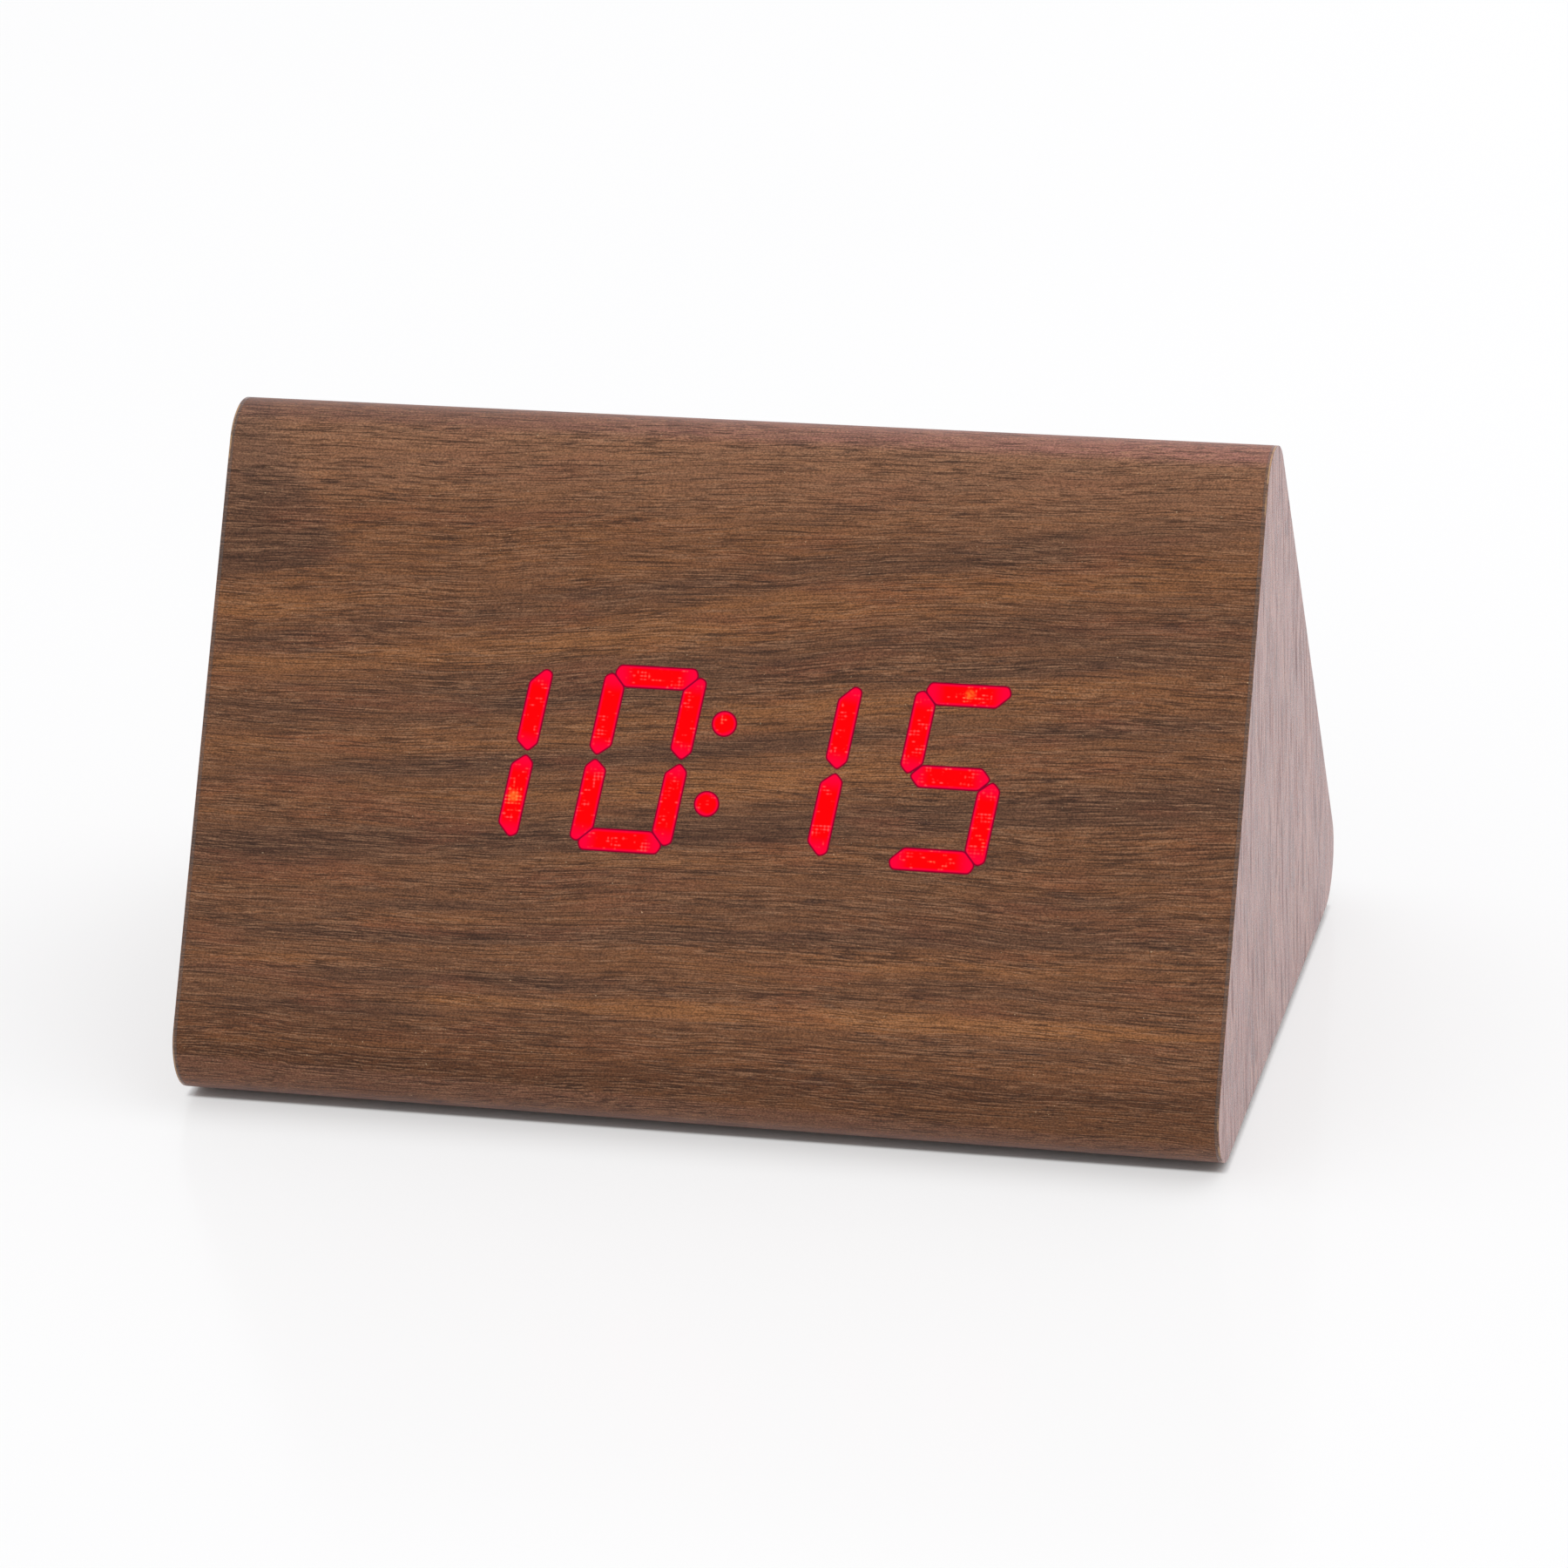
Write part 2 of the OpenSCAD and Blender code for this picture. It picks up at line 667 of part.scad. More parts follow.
module film_end_right() {
    color("sienna") along(tube_len / 2, body_len / 2) section(0);
}

module feet() {
    color("dimgray") for (i = [-1, 1], j = [-1, 1]) translate([i * foot_x, j * foot_y])
        rod(foot_r, 0, foot_h);
}

// Display

// All the segments of a digit, with sharp corners
module all_segments(place, grow, bottom, top) {
    for (k = [0:6]) translate([DIGIT_X[place], 0]) plate(segment_outline(k, grow), bottom, top);
}

// The segments that show a figure, with rounded corners
module shown_figure(value, place, grow, bottom, top) {
    for (k = LIT[value]) translate([DIGIT_X[place], 0])
        plate(rounded(segment_outline(k, grow), seg_r, 4), bottom, top);
}

module colon_dots(grow, bottom, top) {
    for (at = COLON) translate(at) rod(colon_r + grow, bottom, top);
}

module lit_hour_tens() {
    color("red") on_display() shown_figure(hour_tens, 0, 0, -lit_t, 0);
}

module lit_hour_units() {
    color("red") on_display() shown_figure(hour_units, 1, 0, -lit_t, 0);
}

module lit_colon() {
    color("red") on_display() colon_dots(0, -lit_t, 0);
}

module lit_minute_tens() {
    color("red") on_display() shown_figure(minute_tens, 2, 0, -lit_t, 0);
}

module lit_minute_units() {
    color("red") on_display() shown_figure(minute_units, 3, 0, -lit_t, 0);
}

module segment_housing() {
    color("white") on_display() difference() {
        block(housing_w, housing_h, -display_front, -film_t - seat_gap);
        for (place = [0:3]) all_segments(place, 0, -display_front - EPS, EPS);
        colon_dots(0, -display_front - EPS, EPS);
    }
}

module light_guides(place) {
    color("mistyrose") on_display()
        all_segments(place, -guide_gap, -guide_depth, -film_t - seat_gap);
}

module guides_hour_tens() {
    light_guides(0);
}

module guides_hour_units() {
    light_guides(1);
}

module guides_colon() {
    color("mistyrose") on_display() colon_dots(-guide_gap, -guide_depth, -film_t - seat_gap);
}

module guides_minute_tens() {
    light_guides(2);
}

module guides_minute_units() {
    light_guides(3);
}

module led_chip(at) {
    translate(at) block(led_w, led_w, -display_front, -display_front + led_h);
}

module led_chips() {
    color("lightyellow") on_display() {
        for (x = DIGIT_X, s = SEGMENTS) led_chip([x, 0] + middle(slanted(s)));
        for (at = COLON) led_chip(at);
    }
}

module display_board() {
    color("darkgreen") on_display() difference() {
        block(board_w, board_h, -display_back, -display_front);
        for (at = DISPLAY_SCREWS) translate(at) screw_hole(-display_back - EPS, EPS);
    }
}

module display_driver() {
    color("black") on_display() translate([0, -board_h / 4])
        block(driver_len, driver_w, -display_back - driver_h, -display_back);
}

module display_screws() {
    color("silver") on_display() for (at = DISPLAY_SCREWS)
        translate([at.x, at.y, -display_back - screw_head_h]) rotate([180, 0, 0])
            screw(false, pcb_t + screw_head_h);
}

// Wiring between the boards

module ribbon_socket(back) {
    difference() {
        block(socket_len, socket_w, -back - socket_h, -back);
        block(ribbon_w + 2 * glue_gap, ribbon_t + 2 * glue_gap, -back - socket_h - EPS, -back - socket_wall);
    }
}

module ribbon_sockets() {
    color("ivory") {
        on_front() translate([-socket_x, DISPLAY_SOCKET_V]) ribbon_socket(display_back);
        on_rear() translate([socket_x, CONTROL_SOCKET_V]) ribbon_socket(control_back);
    }
}

// The cable's path in the section: into each socket, and a loose bend between them
RIBBON_PATH = let (
    inward_front = [SIN60, -COS60],
    inward_rear = [-SIN60, -COS60],
    plug_depth = socket_h - socket_wall - seat_gap,
    start = front_point(side / 2 + DISPLAY_SOCKET_V, display_back + socket_wall + seat_gap),
    leave = start + plug_depth * inward_front,
    end = rear_point(side / 2 + CONTROL_SOCKET_V, control_back + socket_wall + seat_gap),
    arrive = end + plug_depth * inward_rear
) [
    start,
    for (k = [0:RIBBON_STEPS])
        bezier(leave, leave + RIBBON_REACH * inward_front, arrive + RIBBON_REACH * inward_rear, arrive,
            k / RIBBON_STEPS),
    end
];

function path_side(path, d) = [
    for (i = [0:len(path) - 1])
        let (t = unit(path[min(i + 1, len(path) - 1)] - path[max(i - 1, 0)]))
        path[i] + d * [-t.y, t.x]
];

module ribbon_cable() {
    far = path_side(RIBBON_PATH, -ribbon_t / 2);
    color("gray") translate([-socket_x - ribbon_w / 2, 0, 0]) rotate([90, 0, 90]) linear_extrude(ribbon_w)
        polygon(concat(path_side(RIBBON_PATH, ribbon_t / 2), [for (i = [len(far) - 1:-1:0]) far[i]]));
}

// Control panel and its board

module control_panel() {
    spigot_len = opening_len - 2 * spigot_gap;
    spigot_h = opening_h - 2 * spigot_gap;
    color("dimgray") on_rear() difference() {
        union() {
            plate(rounded(box_points(rim_len, rim_h), rim_corner_r), 0, rim_t);
            block(spigot_len, spigot_h, -spigot_t, 0);
            for (k = [-1, 1]) translate([k * post_x, 0]) rod(post_r, -control_depth, 0);
        }
        for (x = BUTTON_X) translate([x, 0]) rod(button_r + button_gap, -spigot_t - EPS, rim_t + EPS);
        translate([inlet_x, 0]) rod(plug_hole_r, -spigot_t - EPS, rim_t + EPS);
        translate([mic_x, 0]) rod(mic_hole_r, -spigot_t - EPS, rim_t + EPS);
        for (k = [-1, 1]) {
            translate([k * post_x, 0])
                screw_hole(-control_depth - EPS, -control_depth + screw_bite + screw_spare);
            translate([k * rim_screw_x, 0]) {
                screw_hole(-EPS, rim_t + EPS);
                countersink(rim_t);
            }
        }
    }
}

module control_panel_screws() {
    color("silver") on_rear() for (k = [-1, 1]) translate([k * rim_screw_x, 0, rim_t])
        screw(true, rim_t);
}

module control_board() {
    color("darkgreen") on_rear() difference() {
        block(control_board_len, control_board_h, -control_back, -control_depth);
        for (k = [-1, 1]) translate([k * post_x, 0]) screw_hole(-control_back - EPS, EPS);
    }
}

module control_board_screws() {
    color("silver") on_rear() for (k = [-1, 1])
        translate([k * post_x, 0, -control_back - screw_head_h]) rotate([180, 0, 0])
            screw(false, pcb_t + screw_head_h);
}

module switch_bodies() {
    well = plunger_depth + button_travel + plunger_gap;
    color("black") on_rear() for (x = BUTTON_X) translate([x, 0]) difference() {
        block(switch_w, switch_w, -control_depth, -control_depth + switch_h);
        rod(plunger_r + plunger_gap, -control_depth + switch_h - well, EPS);
    }
}

module plunger(x) {
    color("whitesmoke") on_rear() translate([x, 0])
        rod(plunger_r, -plunger_top - plunger_proud - plunger_depth, -plunger_top);
}

module button(x) {
    shoulder = -spigot_t - button_rest_gap;
    color("black") on_rear() translate([x, 0]) {
        rod(plunger_r, -plunger_top, shoulder);
        rod(button_r + button_collar, shoulder - button_collar_t, shoulder);
        rod(button_r, shoulder - button_collar_t / 2, rim_t + button_proud - button_chamfer);
        translate([0, 0, rim_t + button_proud - button_chamfer])
            cylinder(r1 = button_r, r2 = button_r - button_chamfer, h = button_chamfer);
    }
}

module set_button() {
    button(BUTTON_X[0]);
}

module set_plunger() {
    plunger(BUTTON_X[0]);
}

module up_button() {
    button(BUTTON_X[1]);
}

module up_plunger() {
    plunger(BUTTON_X[1]);
}

module down_button() {
    button(BUTTON_X[2]);
}

module down_plunger() {
    plunger(BUTTON_X[2]);
}

module dc_jack() {
    color("black") on_rear() translate([inlet_x, 0]) difference() {
        rod(jack_r, -control_depth, -control_depth + jack_h);
        rod(jack_bore_r, -control_depth + jack_floor, EPS);
    }
}

module dc_jack_pin() {
    color("silver") on_rear() translate([inlet_x, 0])
        rod(jack_pin_r, -control_depth + jack_floor, -control_depth + jack_h - jack_pin_inset);
}

module controller_chip() {
    color("black") on_rear() translate(CHIP_AT)
        block(chip_len, chip_w, -control_back - chip_h, -control_back);
}

module crystal() {
    color("silver") on_rear() translate(CRYSTAL_AT) plate(
        rounded(box_points(crystal_len, crystal_w), crystal_corner_r),
        -control_back - crystal_h, -control_back
    );
}

module buzzer() {
    color("black") on_rear() translate(BUZZER_AT) difference() {
        rod(buzzer_r, -control_back - buzzer_h, -control_back);
        rod(buzzer_hole_r, -control_back - buzzer_h - EPS, -control_back - buzzer_h + buzzer_hole_depth);
    }
}

module microphone() {
    color("silver") on_rear() translate([mic_x, 0]) rod(mic_r, -control_depth, -control_depth + mic_h);
}

module thermistor() {
    color("goldenrod") on_rear() translate(BEAD_AT) {
        bead_z = -control_back - leg_len - bead_r;
        for (k = [-1, 1]) translate([k * bead_r / 2, 0]) rod(leg_r, bead_z, -control_back);
        translate([0, 0, bead_z]) sphere(bead_r);
    }
}

module capacitors() {
    color("navy") on_rear() for (k = [-1, 1]) translate(CAPS_AT + [k * cap_pitch / 2, 0])
        rod(cap_r, -control_back - cap_h, -control_back);
}

// Battery box and door

module battery_box() {
    color("dimgray") on_base() difference() {
        union() {
            block(box_len, box_w, 0, box_top);
            plate(rounded(box_points(box_rim_len, box_rim_w), box_corner_r), 0, box_rim_t);
        }
        block(box_in_len, box_in_w, -EPS, box_ceiling);
        translate([0, hinge_y, hinge_r]) rotate([0, 90, 0]) rod(hinge_pin_r + hinge_gap, -box_len, box_len);
        for (y = [CELL_Y[0], CELL_Y[CELLS - 1]]) translate([lug_x, y])
            block(plate_t + 2 * lug_gap, lug_w + 2 * lug_gap, cell_z, box_top + EPS);
        for (at = BOX_SCREWS) translate(at) {
            screw_hole(-EPS, box_rim_t + EPS);
            mirror([0, 0, 1]) countersink(0);
        }
    }
}

module battery_box_screws() {
    color("silver") on_base() for (at = BOX_SCREWS) translate(at) mirror([0, 0, 1]) screw(true, box_rim_t);
}

module battery_door() {
    front = -box_in_w / 2 + door_gap;
    color("dimgray") on_base() difference() {
        union() {
            translate([-door_len / 2, front, 0]) cube([door_len, hinge_y - front, door_t]);
            translate([0, hinge_y, hinge_r]) rotate([0, 90, 0]) {
                rod(hinge_r, -door_len / 2, door_len / 2);
                rod(hinge_pin_r, -box_len / 2 + hinge_pin_inset, box_len / 2 - hinge_pin_inset);
            }
        }
        difference() {
            translate([0, front + thumb_inset, 0]) rod(thumb_r, -EPS, thumb_depth);
            for (k = [0:thumb_ridges - 1]) translate([0, front + ridge_pitch * (k + 1), 0])
                block(ridge_len, ridge_w, -EPS, thumb_depth + EPS);
        }
    }
}

// Places that alternate from cell to cell: 1 where a cell's button points along +X
function facing(i) = i % 2 == 0 ? 1 : -1;

module battery_cells() {
    foot = box_in_len / 2 - plate_t - contact_gap - cell_len;
    shoulder = foot + cell_len - cell_button_h;
    color("goldenrod") on_base() for (i = [0:CELLS - 1])
        translate([0, CELL_Y[i], cell_z]) rotate([0, 90 * facing(i), 0]) {
            rod(cell_d / 2, foot, shoulder);
            rod(cell_button_r, shoulder - EPS, foot + cell_len);
        }
}

// A spring's wire, along +Z from its seat
SPRING_PATH = let (rise = spring_len - spring_wire, count = ceil(spring_turns * CURL_RINGS)) [
    for (i = [0:count])
        let (turn = 360 * spring_turns * i / count)
        [spring_wire / 2 + rise * i / count, spring_r * cos(turn), spring_r * sin(turn)]
];
spring_least_gap = min([
    for (i = [0:len(SPRING_PATH) - 1], j = [0:len(SPRING_PATH) - 1])
        if (j - i >= CURL_RINGS / 2) norm(SPRING_PATH[j] - SPRING_PATH[i])
]) - spring_wire;
echo(spring_least_gap = spring_least_gap);

module battery_springs() {
    color("silver") on_base() for (i = [0:CELLS - 1]) translate([0, CELL_Y[i], cell_z])
        rotate([0, 0, facing(i) > 0 ? 0 : 180]) translate([-box_in_len / 2 + plate_t + contact_gap, 0, 0])
            wire(SPRING_PATH, spring_wire / 2, WIRE_SIDES);
}

module contact_plates() {
    color("silver") on_base() {
        for (k = [-1, 1], y = CELL_Y) translate([k * lug_x, y, cell_z - plate_w / 2])
            block(plate_t, plate_w, 0, plate_w);
        for (y = [CELL_Y[0], CELL_Y[CELLS - 1]]) translate([lug_x, y])
            block(plate_t, lug_w, cell_z, box_top + lug_proud);
    }
}

// A lead from a solder lug to its pad on the control board, square to both
module battery_lead(y, pad) {
    from = [lug_x, y, foot_h + box_top + lug_proud + seat_gap];
    to = control_point(pad, control_back + seat_gap);
    inward = [0, -SIN60, -COS60];
    leave = from + [0, 0, 2 * lead_r];
    arrive = to + (cap_h + lead_gap) * inward;
    path = [
        from,
        for (k = [0:LEAD_RINGS])
            bezier(leave, leave + [0, 0, LEAD_RISE], arrive + LEAD_REACH * inward, arrive, k / LEAD_RINGS),
        to
    ];
    wire(path, lead_r, LEAD_SIDES);
}

module battery_lead_red() {
    color("red") battery_lead(CELL_Y[0], RED_PAD);
}

module battery_lead_black() {
    color("black") battery_lead(CELL_Y[CELLS - 1], BLACK_PAD);
}

front_panel();
rear_panel();
base_panel();
end_panel_left();
end_panel_right();
film_wrap();
film_end_left();
film_end_right();
feet();
lit_hour_tens();
lit_hour_units();
lit_colon();
lit_minute_tens();
lit_minute_units();
segment_housing();
guides_hour_tens();
guides_hour_units();
guides_colon();
guides_minute_tens();
guides_minute_units();
led_chips();
display_board();
display_driver();
display_screws();
ribbon_sockets();
ribbon_cable();
control_panel();
control_panel_screws();
control_board();
control_board_screws();
switch_bodies();
set_button();
set_plunger();
up_button();
up_plunger();
down_button();
down_plunger();
dc_jack();
dc_jack_pin();
controller_chip();
crystal();
buzzer();
microphone();
thermistor();
capacitors();
battery_box();
battery_box_screws();
battery_door();
battery_cells();
battery_springs();
contact_plates();
battery_lead_red();
battery_lead_black();
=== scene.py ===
# %% [markdown]
# # A wooden desk clock, dressed for the camera
#
# The clock is a triangular prism of fibre board, wrapped in walnut-grain film, with red
# seven-segment figures that shine through the film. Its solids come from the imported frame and
# stay where they are. This lesson adds what a drawing of solids lacks: the finish of each piece,
# the glow of the figures, smooth wire, real-looking cells and small printed marks.

# %% Load the frame
import math
import bmesh
import bpy
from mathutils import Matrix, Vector
from mathutils.kdtree import KDTree


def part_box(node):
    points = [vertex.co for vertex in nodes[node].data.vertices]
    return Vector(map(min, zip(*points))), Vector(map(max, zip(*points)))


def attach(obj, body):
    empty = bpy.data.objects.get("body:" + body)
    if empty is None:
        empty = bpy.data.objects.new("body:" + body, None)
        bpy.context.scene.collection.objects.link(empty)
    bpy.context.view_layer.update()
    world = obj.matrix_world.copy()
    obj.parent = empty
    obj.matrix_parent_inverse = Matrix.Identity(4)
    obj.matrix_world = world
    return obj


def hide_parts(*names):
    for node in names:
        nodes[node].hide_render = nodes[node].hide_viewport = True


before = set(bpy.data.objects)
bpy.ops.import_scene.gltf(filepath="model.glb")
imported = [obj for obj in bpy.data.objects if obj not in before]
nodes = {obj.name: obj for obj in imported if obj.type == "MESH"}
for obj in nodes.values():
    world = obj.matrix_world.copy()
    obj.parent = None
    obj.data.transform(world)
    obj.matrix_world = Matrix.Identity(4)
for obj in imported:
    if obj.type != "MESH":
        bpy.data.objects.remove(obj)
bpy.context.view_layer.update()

# %% [markdown]
# ## Finding the faces
#
# Everything is placed from the frame, never by eye. Both long faces lean at 60 degrees, so two
# unit arrows per face, one up its slope and one straight out of it, turn any point of the mesh
# into millimetres on that face. The figures are centred on the front, so their extent gives
# the middle of the face.

# %% Arrows on the front and the back
MM = 0.001
LEAN = math.radians(60)
UP_FRONT = Vector((0, math.cos(LEAN), math.sin(LEAN)))
OUT_FRONT = Vector((0, -math.sin(LEAN), math.cos(LEAN)))
UP_BACK = Vector((0, -math.cos(LEAN), math.sin(LEAN)))
OUT_BACK = Vector((0, math.sin(LEAN), math.cos(LEAN)))
FIGURES = ["lit_hour_tens", "lit_hour_units", "lit_colon", "lit_minute_tens", "lit_minute_units"]


def reach(names, arrow):
    """Least and greatest distance of some nodes along an arrow, in millimetres."""
    along = [arrow.dot(v.co) / MM for name in names for v in nodes[name].data.vertices]
    return min(along), max(along)


face_middle = sum(reach(FIGURES, UP_FRONT)) / 2
face_plane = reach(["film_wrap"], OUT_FRONT)[1]
half_length = reach(["film_end_right"], Vector((1, 0, 0)))[1]
print("Front face: middle", round(face_middle, 2), "plane", round(face_plane, 2), "mm")

# %% [markdown]
# ## The camera
#
# A long lens stands in front, a little to the right and above, and leans by two degrees, as it
# was hand-held. The angles and the distance were fitted to the outline of the clock. A camera in
# Blender looks along its own -Z, so its three axes are worked out as arrows and written into
# one matrix, which is safer than stacking Euler turns.

# %% Camera
VIEW_TURN = math.radians(14.543)
VIEW_RISE = math.radians(23.090)
VIEW_ROLL = math.radians(-2.315)
VIEW_DISTANCE = 714.77 * MM
AIM = Vector((2.753, -1.341, 28.033)) * MM
LENS = 142.56
SENSOR = 36.0


def camera_axes(turn, rise, roll):
    """Right, up and backward arrows of a camera that stands at these angles."""
    back = Vector((math.sin(turn) * math.cos(rise), -math.cos(turn) * math.cos(rise), math.sin(rise)))
    level = (-back).cross(Vector((0, 0, 1))).normalized()
    upright = level.cross(-back)
    right = math.cos(roll) * level + math.sin(roll) * upright
    up = -math.sin(roll) * level + math.cos(roll) * upright
    return right, up, back


scene = bpy.context.scene
camera = bpy.data.objects.new("camera", bpy.data.cameras.new("camera"))
scene.collection.objects.link(camera)
right, up, back = camera_axes(VIEW_TURN, VIEW_RISE, VIEW_ROLL)
camera.matrix_world.col[0].xyz = right
camera.matrix_world.col[1].xyz = up
camera.matrix_world.col[2].xyz = back
camera.matrix_world.col[3].xyz = AIM + back * VIEW_DISTANCE
camera.data.lens = LENS
camera.data.sensor_width = SENSOR
camera.data.clip_start = 0.01
scene.camera = camera
scene.view_settings.view_transform = "Standard"
print("Camera at", [round(c, 4) for c in camera.matrix_world.translation])

# %% [markdown]
# ## A small kit for node materials
#
# Every finish here is procedural, and most are a few layers of noise. Wiring nodes by hand takes
# many lines, so a helper class keeps a material in the making and has one short method per kind
# of node. Sizes are given in millimetres on the object, because that is how grain is measured.


# %% Kit for finishes
def colour(red, green, blue):
    """A colour as a screen shows it, each part 0 to 255, as the linear values Blender wants."""
    shares = [level / 255 for level in (red, green, blue)]
    linear = [s / 12.92 if s <= 0.04045 else ((s + 0.055) / 1.055) ** 2.4 for s in shares]
    return (*linear, 1.0)


class Finish:
    """A node material in the making."""

    def __init__(self, name):
        self.material = bpy.data.materials.new(name)
        self.material.use_nodes = True
        self.tree = self.material.node_tree
        self.shader = self.tree.nodes["Principled BSDF"]

    def feed(self, socket, value):
        """Links a socket to another one, or sets it to a plain value."""
        if isinstance(value, bpy.types.NodeSocket):
            self.tree.links.new(value, socket)
        elif value is not None:
            socket.default_value = value

    def set(self, **values):
        """Feeds the shader's own sockets, named with underscores for spaces."""
        for name, value in values.items():
            self.feed(self.shader.inputs[name.replace("_", " ")], value)

    def place(self):
        """The point on the object, in millimetres."""
        point = self.tree.nodes.new("ShaderNodeTexCoord").outputs["Object"]
        return self.vector("SCALE", point, scale=1 / MM)

    def vector(self, operation, first, second=None, scale=None):
        node = self.tree.nodes.new("ShaderNodeVectorMath")
        node.operation = operation
        for socket, value in zip(node.inputs, (first, second, None, scale)):
            self.feed(socket, value)
        number = operation in ("DOT_PRODUCT", "LENGTH")
        return node.outputs[1 if number else 0]

    def math(self, operation, first, second=None):
        node = self.tree.nodes.new("ShaderNodeMath")
        node.operation = operation
        self.feed(node.inputs[0], first)
        self.feed(node.inputs[1], second)
        return node.outputs[0]

    def total(self, *terms):
        """Sum of some sockets and numbers."""
        value = terms[0]
        for term in terms[1:]:
            value = self.math("ADD", value, term)
        return value

    def split(self, point):
        node = self.tree.nodes.new("ShaderNodeSeparateXYZ")
        self.feed(node.inputs[0], point)
        return node.outputs

    def join(self, x, y, z):
        node = self.tree.nodes.new("ShaderNodeCombineXYZ")
        for socket, value in zip(node.inputs, (x, y, z)):
            self.feed(socket, value)
        return node.outputs[0]

    def fade(self, value, start, end, low=0.0, high=1.0):
        """Goes smoothly from low at start to high at end."""
        node = self.tree.nodes.new("ShaderNodeMapRange")
        node.interpolation_type = "SMOOTHSTEP"
        for socket, number in zip(node.inputs, (value, start, end, low, high)):
            self.feed(socket, number)
        return node.outputs[0]

    def noise(self, point, size, detail=1.0, rough=0.5, shift=0.0):
        """Noise whose lumps measure size millimetres along each axis."""
        stretch = self.tree.nodes.new("ShaderNodeMapping")
        self.feed(stretch.inputs["Vector"], point)
        stretch.inputs["Scale"].default_value = [1 / s for s in size]
        stretch.inputs["Location"].default_value = (shift, shift, shift)
        node = self.tree.nodes.new("ShaderNodeTexNoise")
        self.feed(node.inputs["Vector"], stretch.outputs[0])
        node.inputs["Scale"].default_value = 1.0
        node.inputs["Detail"].default_value = detail
        node.inputs["Roughness"].default_value = rough
        return node.outputs[0]

    def sway(self, value, amount):
        """Noise turned into a swing of plus or minus about half the amount."""
        return self.math("MULTIPLY", self.math("SUBTRACT", value, 0.5), amount)

    def ramp(self, value, *stops):
        """Colour along a row of (place, colour) stops."""
        node = self.tree.nodes.new("ShaderNodeValToRGB")
        self.feed(node.inputs[0], value)
        marks = node.color_ramp.elements
        while len(marks) < len(stops):
            marks.new(1.0)
        for mark, (spot, shade) in zip(marks, stops):
            mark.position = spot
            mark.color = shade
        return node.outputs[0]

    def mix(self, share, first, second, blend="MIX"):
        node = self.tree.nodes.new("ShaderNodeMix")
        node.data_type = "RGBA"
        node.blend_type = blend
        for index, value in ((0, share), (6, first), (7, second)):
            self.feed(node.inputs[index], value)
        return node.outputs[2]

    def bump(self, height, depth, strength=1.0):
        """Relief from a height of 0 to 1 that stands depth millimetres."""
        node = self.tree.nodes.new("ShaderNodeBump")
        node.inputs["Strength"].default_value = strength
        node.inputs["Distance"].default_value = depth * MM
        self.feed(node.inputs["Height"], height)
        self.feed(self.shader.inputs["Normal"], node.outputs[0])


print("Kit ready")

# %% [markdown]
# ## Floor and light
#
# The clock stands on a white, slightly glossy table in soft daylight-white studio light. The
# world is plain white to the camera and to reflections. As a light it is dim at the horizon and
# bright overhead. One large lamp above and to the right lifts the top and the right end, and
# leaves the faint shadow in front and on the left. Together they are set so that a colour
# renders about as it is written. The table is lifted towards white wherever it is seen, except
# under the clock, so the dark line below the front edge stays.

# %% Floor
FLOOR_HALF = 3.0
FLOOR_LIFT = 0.55
# Under the clock the lift ends softly between these distances from its middle, in millimetres.
ENDS_FADE = (half_length + 0.6, half_length - 0.2)
SIDES_FADE = (36.8, 35.6)


def background_rays(tree):
    """1 for rays that show the background: from the camera, in a reflection or through glass."""
    path = tree.nodes.new("ShaderNodeLightPath")
    shown = path.outputs["Is Camera Ray"]
    for kind in ("Is Glossy Ray", "Is Transmission Ray"):
        either = tree.nodes.new("ShaderNodeMath")
        either.operation = "MAXIMUM"
        tree.links.new(shown, either.inputs[0])
        tree.links.new(path.outputs[kind], either.inputs[1])
        shown = either.outputs[0]
    return shown


def pale_table():
    """White laminate, lifted towards white where it is seen, outside the clock's footprint."""
    finish = Finish("pale_table")
    point = finish.place()
    patch = finish.noise(point, (260, 260, 260), 2.0)
    finish.set(Base_Color=finish.ramp(patch, (0.3, colour(243, 243, 245)), (0.7, colour(246, 246, 247))))
    finish.set(Roughness=finish.fade(patch, 0.3, 0.7, 0.14, 0.18))
    finish.shader.inputs["Specular IOR Level"].default_value = 0.25
    x, y, z = finish.split(point)
    within_ends = finish.fade(finish.math("ABSOLUTE", x), *ENDS_FADE)
    within_sides = finish.fade(finish.math("ABSOLUTE", y), *SIDES_FADE)
    under = finish.math("MULTIPLY", within_ends, within_sides)
    lift = finish.fade(under, 0.0, 1.0, FLOOR_LIFT, 0.0)
    lift = finish.math("MULTIPLY", lift, background_rays(finish.tree))
    white = finish.tree.nodes.new("ShaderNodeEmission")
    both = finish.tree.nodes.new("ShaderNodeMixShader")
    finish.feed(both.inputs[0], lift)
    finish.feed(both.inputs[1], finish.shader.outputs[0])
    finish.feed(both.inputs[2], white.outputs[0])
    finish.feed(finish.tree.nodes["Material Output"].inputs["Surface"], both.outputs[0])
    return finish.material


floor_mesh = bpy.data.meshes.new("floor")
corners = [(-1, -1, 0), (1, -1, 0), (1, 1, 0), (-1, 1, 0)]
floor_mesh.from_pydata([tuple(FLOOR_HALF * c for c in corner) for corner in corners], [], [(0, 1, 2, 3)])
floor_mesh.materials.append(pale_table())
floor = bpy.data.objects.new("floor", floor_mesh)
scene.collection.objects.link(floor)
print("Floor spans", 2 * FLOOR_HALF, "m")

# %% World
HORIZON_LIGHT = 0.38
ZENITH_LIGHT = 1.22


